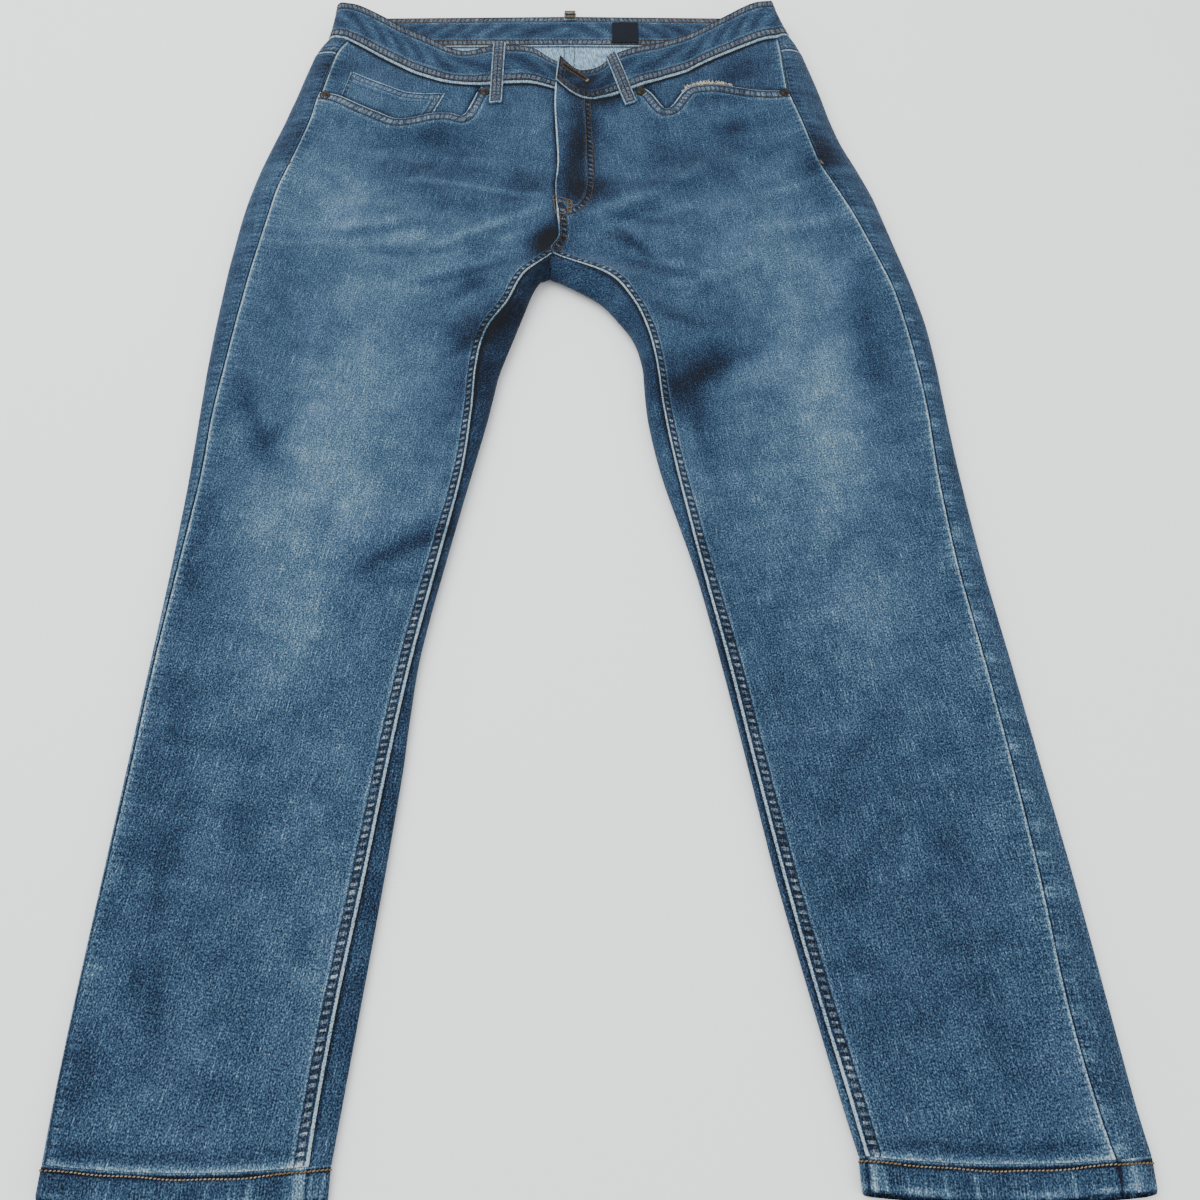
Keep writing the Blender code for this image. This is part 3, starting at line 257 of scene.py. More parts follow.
# Soft step from 0 to 1: t squared times (3 - 2 t).
def ease(t):
    t = np.clip(t, 0.0, 1.0)
    return t * t * (3.0 - 2.0 * t)


# Soft bell over a distance: exp(-(distance / width)^2).
def bell(distance, width):
    return np.exp(-(distance / width) ** 2)


# A streak, used both for worn light and for painted shade: its amount times a bell over the distance from its
# middle.
def streak(distance, amountAndWidth):
    amount, width = amountAndWidth
    return amount * bell(distance, width)


# Where points lie against a line from x0 y0 to x1 y1: how far along it, how far beside it, its length.
def besideLine(x, y, x0, y0, x1, y1):
    runX, runY = x1 - x0, y1 - y0
    length = math.hypot(runX, runY)
    along = ((x - x0) * runX + (y - y0) * runY) / length
    return along, ((y - y0) * runX - (x - x0) * runY) / length, length


# Share that fades out softly past both ends of a line.
def endFade(along, length, past, soft):
    return ease((along + past) / soft) * ease((length - along + past) / soft)


# Smooth curve through rows: row k at u = k, cubic pieces, tangents from the neighbours.
def curve(rows, u):
    rows = np.asarray(rows, float)
    u = np.clip(np.asarray(u, float), 0.0, len(rows) - 1.0)
    k = np.minimum(u.astype(int), len(rows) - 2)
    t = (u - k).reshape(u.shape + (1,) * (rows.ndim - 1))
    slope = np.gradient(rows, axis=0)
    a, b, da, db = rows[k], rows[k + 1], slope[k], slope[k + 1]
    t2, t3 = t * t, t * t * t
    return (2 * t3 - 3 * t2 + 1) * a + (t3 - 2 * t2 + t) * da + (3 * t2 - 2 * t3) * b + (t3 - t2) * db


# The leg's row at any level, read from the smooth curve through its rows.
def shapeAt(side, u):
    return dict(zip(rowNames, np.moveaxis(curve(legRows[side], u), -1, 0)))


# Length run along a line of points, starting at 0.
def runOf(points):
    return np.concatenate([[0.0], np.cumsum(np.linalg.norm(np.diff(points, axis=0), axis=-1))])


# A line of points spread again at an even step.
def evenLine(points, step):
    run = runOf(points)
    at = np.linspace(0.0, run[-1], max(int(run[-1] / step) + 1, 2))
    return np.stack([np.interp(at, run, points[:, k]) for k in range(points.shape[1])], axis=1)


# Sum of the soft folds: height exp(-(distance / width)^2), fading out at both ends.
def creaseHeight(x, y):
    total = np.zeros(np.broadcast(x, y).shape)
    for x0, y0, x1, y1, height, width in creases:
        along, off, length = besideLine(x, y, x0, y0, x1, y1)
        total += height * endFade(along, length, *creaseEnds) * bell(off, width)
    return total


# Lightness that the wash and wear give at a place, with the painted shade of folds and hollows: patches
# exp(-(x/a)^2 - (y/b)^2) and soft lines. The second value is how much of it is dark smudge and painted shade.
def washAndShadeAt(x, y):
    light = np.zeros(np.broadcast(x, y).shape)
    smudgeAndShade = np.zeros_like(light)
    for cx, cy, a, b, turn, amount in washAndShadePatches:
        c, s = math.cos(math.radians(turn)), math.sin(math.radians(turn))
        p, q = (x - cx) * c + (y - cy) * s, (y - cy) * c - (x - cx) * s
        part = amount * washAndShade["pale" if amount > 0 else "dark"] * np.exp(-(p / a) ** 2 - (q / b) ** 2)
        light += part
        smudgeAndShade += washAndShade["smudgeAndShade"] * max(-amount, 0.0) / abs(amount) * np.abs(part)
    for x0, y0, x1, y1, width, amount in wearAndShadeLines:
        along, off, length = besideLine(x, y, x0, y0, x1, y1)
        off = off + washAndShade["bow"] * np.sin(along / length * math.pi)
        light += amount * endFade(along, length, *washAndShade["lineEnds"]) * bell(off, width)
    return light, smudgeAndShade


# Slight unevenness of cloth that lies loose: the sum of a few crossed sine waves.
def looseness(x, y):
    return looseHeight * sum(share * np.sin(a * x + b * y + start) for share, a, b, start in looseWaves)


# How far the back is lifted off the floor: by the waistband's thickness above, and over each back pocket.
def floorLift(x, y):
    b = backPlace
    lift = b["bandLift"] * ease((y - b["liftFrom"]) / (b["liftTo"] - b["liftFrom"]))
    for centre in b["pocketX"].values():
        dx = np.abs(x - centre) - b["pocketTopHalf"]
        dy = np.maximum(b["pocketPointY"] - y, y - b["pocketTopY"])
        near = ease(np.maximum(dx, dy) / b["pocketMargin"] - b["pocketFlat"])
        lift = np.maximum(lift, b["pocketLift"] * (1.0 - near))
    return lift


# How far the hem hangs below its ends in the middle of a leg: a parabola across it.
def hemSag(side, x):
    row = dict(zip(rowNames, legRows[side][0]))
    middle, half = (row["xFold"] + row["xEnd"]) / 2, abs(row["xFold"] - row["xEnd"]) / 2
    return lay["hemSag"] * (lay["sagMiddle"] - ((x - middle) / half) ** 2)


# Front panel's top edge as a fine smooth line: share of the width, then x y z.
def frontTop(side):
    rows = [(s[0], s[1] - gap, s[2] - lay["bandStep"]) if s[6] is None
            else (s[6], s[7], s[2] - lay["bandStep"]) for s in waistRows[side]]
    line = curve(rows, np.linspace(0, len(rows) - 1, lineCount))
    share = (line[:, 0] - line[0, 0]) / (line[-1, 0] - line[0, 0])
    return np.maximum.accumulate(share), line


# Outer face of a front panel: from the side seam, r = 0, to the inseam or centre front, r = 1. Height is
# the middle's, rising by exp(-(distance / crown)^2) to both edges, with the folds on top.
def frontSurface(side, u, r):
    u, r = np.broadcast_arrays(np.asarray(u, float), np.asarray(r, float))
    s = shapeAt(side, u)
    width = np.hypot(s["xIn"] - s["xSide"], s["yIn"] - s["ySide"])
    x = s["xSide"] + r * (s["xIn"] - s["xSide"])
    y = s["ySide"] + r * (s["yIn"] - s["ySide"])
    share, top = frontTop(side)
    last = dict(zip(rowNames, legRows[side][pocket]))
    bend = ease((u - (pocket - lay["mouthRise"])) / lay["mouthRise"]) ** lay["mouthBend"]
    x = x + bend * (np.interp(r, share, top[:, 0]) - (last["xSide"] + r * (last["xIn"] - last["xSide"])))
    y = y + bend * (np.interp(r, share, top[:, 1]) - (last["ySide"] + r * (last["yIn"] - last["ySide"])))
    z = (s["zMid"] + (s["zSide"] - s["zMid"]) * bell(r * width, lay["crown"])
         + (s["zIn"] - s["zMid"]) * bell((1.0 - r) * width, lay["crown"]))
    z = z + bend * (np.interp(r, share, top[:, 2]) - z)
    z = z + creaseHeight(x, y) * ease((pocket - u) / 2.0)
    y = y - hemSag(side, x) * (1 - ease(u / lay["sagFade"]))
    if side == "L":
        z = z + lay["flyStep"] * ease(u - crotch - 1.0) * ease((r - lay["flyShare"][0]) / lay["flyShare"][1])
    return np.stack([x, y, z], axis=-1)


# Centre back seam: two quarter turns of cloth from the crotch, over its edge and under, then along the floor.
def centreBack(u):
    join, edge, under = (dict(zip(rowNames, legRows["R"][crotch + k])) for k in range(3))
    zEdge = lay["foldRise"] * join["zIn"]
    if u <= crotch + 1:
        a = (u - crotch) * math.pi / 2
        return np.array([join["xIn"] + (edge["xEnd"] - join["xIn"]) * math.sin(a),
                         join["yIn"] + (edge["yEnd"] - join["yIn"]) * math.sin(a),
                         zEdge + (join["zIn"] - zEdge) * math.cos(a)])
    if u <= crotch + 2:
        a = (u - crotch - 1) * math.pi / 2
        y = edge["yEnd"] + (under["yEnd"] - edge["yEnd"]) * (1.0 - math.cos(a))
        return np.array([under["xEnd"], y, zEdge * (1.0 - math.sin(a))])
    s = shapeAt("R", u)
    return np.array([s["xEnd"], s["yEnd"], floorLift(s["xEnd"], s["yEnd"])])


# Half a turn of cloth from a seam on top, round its outermost edge, down to the ground: quarter waves.
def fold(seam, edge, direction, angles):
    rise = lay["foldRise"] * seam[2]
    upper = angles <= math.pi / 2
    b = angles - math.pi / 2
    back = np.where(upper, 0.0, lay["foldRun"] * rise * (1.0 - np.cos(b)))[:, None] * direction
    plan = np.where(upper[:, None], seam[:2] + (edge - seam[:2]) * np.sin(angles)[:, None], edge - back)
    z = np.where(upper, rise + (seam[2] - rise) * np.cos(angles), rise * (1.0 - np.sin(b)))
    return np.column_stack([plan, z])


# One row round a back panel: side fold, flat underside, inner fold or centre back seam.
def backRow(side, u, turn, flat):
    s = shapeAt(side, u)
    sign = sideSign[side]
    seam = np.array([s["xSide"] - sign * gap, s["ySide"], s["zSide"]])
    edge = np.array([s["xFold"], s["yFold"]])
    outer = fold(seam, edge, np.array([-sign, 0.0]), np.linspace(0.0, math.pi, turn + 1))
    lift = floorLift(outer[:, 0], outer[:, 1])
    outer[:, 2] = np.maximum(outer[:, 2], 0.0) + lift * (1.0 - outer[:, 2] / seam[2])
    end = centreBack(max(u, crotch)) - np.array([sign * gap / 2, 0.0, 0.0])
    t = np.linspace(0.0, 1.0, turn + 1)[:, None]
    if u <= crotch + 1:
        share = 1.0 - 0.5 * max(u - crotch, 0.0)
        at = s if u <= crotch else dict(zip(rowNames, legRows[side][crotch]))
        inseam = np.array([at["xIn"], at["yIn"], at["zIn"]])
        edge = np.array([s["xEnd"], s["yEnd"]])
        way = (edge - inseam[:2]) / np.linalg.norm(edge - inseam[:2])
        inseam[:2] += way * gap
        spread = np.array([sign * lay["seatSpread"], -1.0]) / math.hypot(lay["seatSpread"], 1.0)
        way = way + ease((u - crotch + 2.0) / 2.0) * (spread - way)
        angles = np.linspace(math.pi, math.pi * (1 - share), turn + 1)
        inner = fold(inseam, edge, way / np.linalg.norm(way), angles)
    else:
        back = lay["seatBack"] * max(crotch + 2 - u, 0.0)
        start = np.array([end[0] - sign * lay["seatRun"], end[1] + back, 0.0])
        inner = start + t * (end - start)
        inner[:, 2] = floorLift(inner[:, 0], inner[:, 1]) + end[2] * t[:, 0] ** 2 * (u < crotch + 2)
    if u > crotch:
        inner = inner + t * (end - inner[-1])
    t = np.linspace(0.0, 1.0, flat + 1)[1:-1, None]
    middle = outer[-1] + t * (inner[0] - outer[-1])
    middle[:, 2] = floorLift(middle[:, 0], middle[:, 1])
    inner[0, 2] = max(inner[0, 2], floorLift(inner[0, 0], inner[0, 1]))
    row = np.vstack([outer, middle, inner])
    row[:, 1] -= hemSag(side, row[:, 0]) * (1 - ease(u / lay["sagFade"]))
    return row


# Outer face of the front waistband: section w along it, v from its seam, 0, to its top edge, 1.
def bandPoint(side, w, v):
    rows = [s[:6] for s in waistRows[side]] + (underlapRows if side == "R" else [])
    c = curve(rows, w)
    v = np.asarray(v, float)[..., None]
    point = c[..., 0:3] + v * (c[..., 3:6] - c[..., 0:3])
    point[..., 2] += backPlace["bandCrown"] * np.sin(math.pi * v[..., 0])
    return point


# A grid's normals: the cross product of its two directions, smoothed with each neighbour's, 1 2 1.
def surfaceNormals(grid, sign, ring=False, passes=1):
    rows = np.gradient(grid, axis=0)
    around = (np.roll(grid, -1, 1) - np.roll(grid, 1, 1)) / 2 if ring else np.gradient(grid, axis=1)
    n = np.cross(around, rows) * sign
    n /= np.maximum(np.linalg.norm(n, axis=-1, keepdims=True), 1e-9)
    for _ in range(passes):
        tall = np.concatenate([n[:1], n, n[-1:]])
        n = tall[:-2] + 2 * n + tall[2:]
        wide = np.concatenate([n[:, -1:], n, n[:, :1]] if ring else [n[:, :1], n, n[:, -1:]], axis=1)
        n = wide[:, :-2] + 2 * n + wide[:, 2:]
        n /= np.maximum(np.linalg.norm(n, axis=-1, keepdims=True), 1e-9)
    return n


pointsAtOnce = 6000


# Distance of points to a line, the run along it, and the side it is passed on (+1 left).
def nearLine(points, line):
    flat = points.reshape(-1, 2)
    runs = runOf(line)
    nearest = np.concatenate([((part[:, None] - line[None]) ** 2).sum(-1).argmin(1)
                              for part in np.array_split(flat, max(len(flat) // pointsAtOnce, 1))])
    best, run, left = np.full(len(flat), 9.0), np.zeros(len(flat)), np.ones(len(flat))
    for step in (-1, 0):
        a = np.clip(nearest + step, 0, len(line) - 2)
        way = line[a + 1] - line[a]
        off = flat - line[a]
        t = np.clip((off * way).sum(-1) / np.maximum((way ** 2).sum(-1), 1e-12), 0.0, 1.0)
        away = np.linalg.norm(off - t[:, None] * way, axis=1)
        closer = away < best
        best = np.where(closer, away, best)
        run = np.where(closer, runs[a] + t * (runs[a + 1] - runs[a]), run)
        left = np.where(closer, np.sign(way[:, 0] * off[:, 1] - way[:, 1] * off[:, 0]), left)
    return [v.reshape(points.shape[:-1]) for v in (best, run, left)]


noSeam = (99.0, 0.0, 0.0)


# How much a metre of seam counts where its ropes are spots or squares; how far apart the lines' runs start.
ropeRun = {"rope": 1000, "square": 1150, "apart": 311.0}


# Seam channel of a piece: distance in mm, run in mm and amount, for the nearest of its lines. A line is
# (points, amount, side, width, start): side 0 works on both sides of it, width is the seam's against a
# full one, and a topstitched seam with no edge of its own starts past it. An amount of 1 more makes the
# ropes broad squares.
def seamChannel(plan, lines):
    best = np.full(plan.shape[:-1], noSeam[0])
    run, amount = np.zeros_like(best), np.zeros_like(best)
    for number, (line, strength, side, width, start) in enumerate(lines):
        away, along, left = nearLine(plan, line)
        inside = (side == 0) | (left * side >= 0) | (away < 0.0002)
        away = np.where(inside, away * 1000 / width + start, noSeam[0])
        closer = away < best
        best = np.where(closer, away, best)
        stretch = ropeRun["square" if strength > 1 else "rope"]
        run = np.where(closer, along * stretch + ropeRun["apart"] * number, run)
        amount = np.where(closer, strength, amount)
    return np.stack([best, run, amount], axis=-1)


pieces = {}


# A closed cloth wall from a grid of outer points, its normals and its thickness. looks holds, for each
# point, uv (metres), band and plain (seam channels) and tone (wash and painted shade, smudge and painted
# shade).
def clothPiece(name, grid, normals, thickness, looks, material, slot, nodes, ring=False, inside=0.0):
    n, m = grid.shape[:2]
    size = n * m
    points = np.concatenate([grid.reshape(-1, 3), (grid - normals * thickness).reshape(-1, 3)])
    points[:, 1] -= middleY
    points[:, 2] = np.maximum(points[:, 2], 0.0)
    wide = m if ring else m - 1
    i, j = np.meshgrid(np.arange(n - 1), np.arange(wide), indexing="ij")
    i, j = i.ravel(), j.ravel()
    a, b = i * m + j, i * m + (j + 1) % m
    c, d = b + m, a + m
    outer = np.stack([a, b, c, d], 1)
    inner = outer[:, ::-1] + size
    j = np.arange(wide)
    k, end = (j + 1) % m, (n - 1) * m
    rims = [np.stack([j + size, k + size, k, j], 1),
            np.stack([end + j, end + k, end + k + size, end + j + size], 1)]
    if not ring:
        i = np.arange(n - 1) * m
        rims += [np.stack([i, i + m, i + m + size, i + size], 1),
                 np.stack([i + m - 1 + size, i + 2 * m - 1 + size, i + 2 * m - 1, i + m - 1], 1)]
    faces = np.concatenate([outer, inner] + rims)
    flat = grid.reshape(-1, 3)
    facing = np.cross(flat[b] - flat[a], flat[d] - flat[a])
    if (facing * normals.reshape(-1, 3)[a]).sum() < 0:
        faces = faces[:, ::-1]
    mesh = bpy.data.meshes.new(name)
    mesh.vertices.add(len(points))
    mesh.vertices.foreach_set("co", points.ravel())
    mesh.loops.add(faces.size)
    mesh.loops.foreach_set("vertex_index", faces.ravel())
    mesh.polygons.add(len(faces))
    mesh.polygons.foreach_set("loop_start", np.arange(len(faces)) * 4)
    mesh.polygons.foreach_set("use_smooth", np.ones(len(faces), bool))
    mesh.update(calc_edges=True)
    mesh.validate()
    uv = np.tile(np.broadcast_to(looks["uv"], (n, m, 2)).reshape(-1, 2), (2, 1))
    mesh.uv_layers.new(name="cloth").data.foreach_set("uv", uv[faces.ravel()].ravel())
    for channel in ("band", "plain"):
        values = np.broadcast_to(looks.get(channel, noSeam), (n, m, 3)).reshape(-1, 3)
        back = values * (1, 1, 0) + (noSeam if inside else (0, 0, 0))
        mesh.attributes.new(channel, "FLOAT_VECTOR", "POINT").data.foreach_set(
            "vector", np.concatenate([values, back if inside else values]).ravel())
    light, smudgeAndShade = (np.broadcast_to(v, (n, m)).ravel() for v in looks["tone"])
    none = 0 * light
    worn, reverse = np.stack([light, smudgeAndShade, none], 1), np.stack([none, none, inside + none], 1)
    tone = np.concatenate([worn, reverse if inside else worn])
    mesh.attributes.new("tone", "FLOAT_VECTOR", "POINT").data.foreach_set("vector", tone.ravel())
    mesh.set_sharp_from_angle(angle=math.radians(50))
    print(f"  {name}: lowest {points[:, 2].min():.5f}, {2 * len(faces)} triangles")
    return place(name, mesh, material, slot, nodes, grid)


def place(name, mesh, material, slot, nodes=(), grid=None):
    mesh.materials.append(material)
    piece = bpy.data.objects.new(name, mesh)
    bpy.context.scene.collection.objects.link(piece)
    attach(piece, "root")
    if nodes:
        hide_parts(*nodes)
    pieces[name] = piece
    return piece


# Columns across a panel: close together by both edges, where the seams are.
def edgeColumns(count):
    edge = np.array([0, .0035, .007, .011, .016, .022, .029, .037, .046, .056])
    return np.concatenate([edge, np.linspace(0.07, 0.93, count), 1 - edge[::-1]])


# Levels at an even step along the side seam.
def evenLevels(side, start, end, step):
    u = np.linspace(start, end, 900)
    s = shapeAt(side, u)
    run = runOf(np.stack([s["xSide"], s["ySide"]], 1))
    return np.interp(np.linspace(0, run[-1], int(run[-1] / step)), run, u)


# sRGB hex to linear colour.
def colour(code):
    c = np.array([int(code[k:k + 2], 16) for k in (1, 3, 5)]) / 255
    return (*np.where(c <= 0.04045, c / 12.92, ((c + 0.055) / 1.055) ** 2.4), 1.0)


# Adds a node: its settings, then its sockets, each from another node's socket or a plain value.
def put(tree, kind, sockets=None, **settings):
    node = tree.nodes.new(kind)
    for key, value in settings.items():
        setattr(node, key, value)
    for socket, source in (sockets or {}).items():
        if isinstance(source, bpy.types.NodeSocket):
            tree.links.new(source, node.inputs[socket])
        else:
            node.inputs[socket].default_value = source
    return node


# Gives a colour ramp its stops, (place, hex or numbers).
def setRamp(node, stops):
    ramp = node.color_ramp
    while len(ramp.elements) < len(stops):
        ramp.elements.new(0.5)
    for element, (at, value) in zip(ramp.elements, stops):
        element.position = at
        element.color = colour(value) if isinstance(value, str) else (*value, 1.0)


# Stretch denim after a stone wash: indigo warp over white weft, so it greys as it wears. Warp slubs show
# as short pale streaks along the leg; the felled seams rope into light and dark squares. The layers below
# "rest" are amounts of lightness. A noise is its size across and along in m, detail, low and high.
denim = {"stops": [(0.0, "#03070f"), (0.2, "#0d2039"), (0.4, "#273e54"), (0.55, "#395267"), (0.7, "#536b7d"),
                   (0.85, "#718792"), (1.0, "#9fadb3")],
         "reverse": [(0.25, "#57728a"), (0.5, "#7692a5"), (0.75, "#93abba")],
         # the smudge colour is mixed over the dark wash patches, which are partly smudges and partly painted
         # shade
         "smudgeAndShade": "#1d2422", "smudgeAndShadeShare": 0.22, "violet": "#2a3852", "violetShare": 0.2,
         "rest": 0.397, "slub": 0.36, "streak": 0.14, "grain": 0.48, "cloud": 0.4, "rope": 0.58,
         "pucker": 0.26, "puckerShade": 0.35,
         # the groove amount darkens stitched grooves and a plain seam's edge: painted shade
         "edge": 0.72, "line": 0.54, "grooveShade": 0.28, "squareLift": 0.2, "hatch": -0.3,
         "contrast": (0.95, 1.25), "contrastBetween": (0.1, -0.2),
         "noises": {"slub": (0.0009, 0.005, 2.0, 0.0, 1.0), "streak": (0.0008, 0.022, 0.0, 0.62, 0.82),
                    "grain": (0.0011, 0.00135, 2.0, 0.3, 0.72)},
         "roughness": 0.88, "specular": 0.15, "sheen": 0.04, "relief": 0.0007, "reliefStrength": 0.55}
# Ropes: pitch in mm, slant, and how broad; a square's light starts lower on the wave and is less bright.
ropes = {"band": (5.6, 0.3), "plain": (5.6, 0.1, 0.8), "hatch": (2.3, 1.2, 0.4), "spot": (0.42, 0.74),
         "squareWider": -0.34, "squareLower": -0.42, "uneven": (0.32, 0.62, 0.45, 1.0)}
seamReach = 16.0  # mm from a seam that its profile spans
wavePeriod = 2 * math.pi / 20  # of the wave texture at scale 1
grey = (1.12, 1.02, 0.98)  # of the worn band beside a seam


# A seam's wear over the distance from it, in mm: red worn light, green roped share, blue painted shade in its
# stitched grooves.
bandProfile = [
    (0, (.8, 0, 0)), (.9, (1, 0, 0)), (1.6, (.85, 0, 0)), (2.2, (.05, 0, .9)), (3.2, (0, .2, 1)),
    (4., (0, .9, .85)), (5., (0, 1, .8)), (7.3, (0, 1, .8)), (8.2, (0, .6, .9)), (8.9, (0, .1, 1)),
    (9.5, (.15, 0, .3)), (10.1, (.34, 0, 0)), (11., (.26, 0, 0)), (12.4, (.03, 0, 0)), (15.9, (0, 0, 0)),
]
# A plain seam's profile: red its pale worn edge, green its puckered share, blue painted shade along its edge.
plainProfile = [
    (0, (0, 0, 1)), (.5, (.1, 0, .9)), (.9, (.9, 0, 0)), (1.9, (.85, .4, 0)), (2.6, (.25, 1, 0)),
    (5., (.05, .9, 0)), (9., (0, .4, 0)), (15.9, (0, 0, 0)),
]


# Denim's tone is the sum of its layers, read on the indigo ramp; then violet casts, greyed seams, smudges
# with painted shade, and the pale reverse are mixed over it.
def denimMaterial(name, shift=0.0, bandGrey=0.22):
    material = bpy.data.materials.new(name)
    material.use_nodes = True
    tree = material.node_tree
    tree.nodes.clear()
    uv = put(tree, "ShaderNodeUVMap", uv_map="cloth").outputs[0]
    vectors = {key: put(tree, "ShaderNodeAttribute", attribute_name=key).outputs["Vector"]
               for key in ("band", "plain", "tone")}
    vectors["place"] = put(tree, "ShaderNodeTexCoord").outputs["Object"]
    band, plain, tone, place = (put(tree, "ShaderNodeSeparateXYZ", {0: vector}).outputs
                                for vector in vectors.values())
    squares = put(tree, "ShaderNodeMath", {0: band[2], 1: 1.05}, operation="GREATER_THAN").outputs[0]
    strength = put(tree, "ShaderNodeMath", {0: band[2], 1: squares}, operation="SUBTRACT").outputs[0]

    noises = {}
    for key, (wide, tall, detail, low, high) in denim["noises"].items():
        scale = (1 / wide, 1 / tall, 1.0)
        scaled = put(tree, "ShaderNodeVectorMath", {0: uv, 1: scale}, operation="MULTIPLY")
        noise = put(tree, "ShaderNodeTexNoise", {"Vector": scaled.outputs[0], "Scale": 1.0, "Detail": detail,
                                                 "Roughness": 0.6}, noise_dimensions="2D")
        noises[key] = put(tree, "ShaderNodeMapRange", {0: noise.outputs[0], 1: low, 2: high}).outputs[0]
    # wash clouds about 30 mm across and violet casts about 60 mm across
    clouds = {"Vector": uv, "Scale": 34.0, "Detail": 5.0, "Roughness": 0.74}
    noises["cloud"] = put(tree, "ShaderNodeTexNoise", clouds, noise_dimensions="2D").outputs[0]
    casts = {"Vector": uv, "Scale": 17.0, "Detail": 1.0}
    violet = put(tree, "ShaderNodeTexNoise", casts, noise_dimensions="2D")
    violet = put(tree, "ShaderNodeMapRange", {0: violet.outputs[0], 1: 0.5, 2: 0.75, 3: 0.0,
                                              4: denim["violetShare"]}).outputs[0]
    # the weave shows more strongly below the knee, nearer the eye
    upper, lower = denim["contrastBetween"]
    contrast = put(tree, "ShaderNodeMapRange", {0: place[1], 1: upper, 2: lower, 3: denim["contrast"][0],
                                                4: denim["contrast"][1]}).outputs[0]

    # Ropes of a felled seam: a wave along the run, leaning a little across it, uneven in place and
    # brightness. Its crests show as light spots, or as broad squares with narrow gaps.
    def roped(parts, pitch, slant, broad):
        lean = put(tree, "ShaderNodeMath", {0: parts[0], 1: slant, 2: parts[1]}, operation="MULTIPLY_ADD")
        at = put(tree, "ShaderNodeMath", {0: lean.outputs[0], 1: wavePeriod / pitch}, operation="MULTIPLY")
        at = put(tree, "ShaderNodeCombineXYZ", {0: at.outputs[0]}).outputs[0]
        wave = put(tree, "ShaderNodeTexWave", {"Vector": at, "Scale": 1.0, "Distortion": 2.0, "Detail": 1.0,
                                               "Detail Scale": 2.4})
        uneven = put(tree, "ShaderNodeTexNoise", {"Vector": at, "Scale": 2.9, "Detail": 0.0})
        low, high, dim, full = ropes["uneven"]
        uneven = put(tree, "ShaderNodeMapRange", {0: uneven.outputs[0], 1: low, 2: high, 3: dim, 4: full})
        limits = ((ropes["squareWider"], ropes["spot"][0]), (ropes["squareWider"], ropes["spot"][1]),
                  (ropes["squareLower"], 1.0))
        low, high, top = (put(tree, "ShaderNodeMath", {0: broad, 1: step, 2: value},
                              operation="MULTIPLY_ADD").outputs[0] for step, value in limits)
        lit = put(tree, "ShaderNodeMapRange", {0: wave.outputs["Fac"], 1: low, 2: high, 3: 0.0, 4: top})
        lit = put(tree, "ShaderNodeMath", {0: lit.outputs[0], 1: uneven.outputs[0]}, operation="MULTIPLY")
        return lit.outputs[0]

    # A seam's profile, read over the distance from it.
    def profile(parts, stops):
        near = put(tree, "ShaderNodeMath", {0: parts[0], 1: 1 / seamReach}, operation="MULTIPLY")
        ramp = put(tree, "ShaderNodeValToRGB", {0: near.outputs[0]})
        setRamp(ramp, [(at / seamReach, value) for at, value in stops])
        return put(tree, "ShaderNodeSeparateColor", {0: ramp.outputs[0]}).outputs

    # Adds each layer's pattern, times its share, times its amount.
    def stacked(level, layers):
        for pattern, share, amount in layers:
            part = put(tree, "ShaderNodeMath", {0: pattern, 1: share}, operation="MULTIPLY").outputs[0]
            level = put(tree, "ShaderNodeMath", {0: part, 1: amount, 2: level}, operation="MULTIPLY_ADD")
            level = level.outputs[0]
        return level

    atBand, atPlain = profile(band, bandProfile), profile(plain, plainProfile)
    bandRope, plainRope = roped(band, *ropes["band"], squares), roped(plain, *ropes["plain"])
    hatch = roped(band, *ropes["hatch"])
    edgeShare, bandShare = (put(tree, "ShaderNodeMath", {0: atBand[part], 1: strength},
                                operation="MULTIPLY").outputs[0] for part in ("Red", "Green"))
    level = stacked(denim["rest"] + shift - 0.5 * denim["cloud"], [
        (tone[0], 1.0, 1.0), (noises["cloud"], 1.0, denim["cloud"]),
        (contrast, 1.0, -0.5 * (denim["slub"] + denim["grain"])), (noises["slub"], contrast, denim["slub"]),
        (noises["streak"], contrast, denim["streak"]), (noises["grain"], contrast, denim["grain"]),
        (bandRope, bandShare, denim["rope"]), (bandShare, squares, denim["squareLift"]),
        (hatch, edgeShare, denim["hatch"]), (atBand["Blue"], strength, -denim["grooveShade"]),
        (edgeShare, 1.0, denim["edge"]), (plainRope, atPlain["Green"], denim["pucker"]),
        (atPlain["Green"], plain[2], -denim["puckerShade"] * denim["pucker"]),
        (atPlain["Red"], plain[2], denim["line"]), (atPlain["Blue"], plain[2], -denim["grooveShade"])])
    indigo = put(tree, "ShaderNodeValToRGB", {0: level})
    setRamp(indigo, denim["stops"])
    face = put(tree, "ShaderNodeMix", {0: violet, 6: indigo.outputs[0], 7: colour(denim["violet"])},
               data_type="RGBA", blend_type="COLOR")
    value = put(tree, "ShaderNodeRGBToBW", {0: face.outputs[2]}).outputs[0]
    warm = put(tree, "ShaderNodeVectorMath", {0: value, 1: grey}, operation="MULTIPLY")
    greyShare = put(tree, "ShaderNodeMath", {0: bandShare, 1: bandGrey}, operation="MULTIPLY")
    greyed = put(tree, "ShaderNodeMix", {0: greyShare.outputs[0], 6: face.outputs[2], 7: warm.outputs[0]},
                 data_type="RGBA")
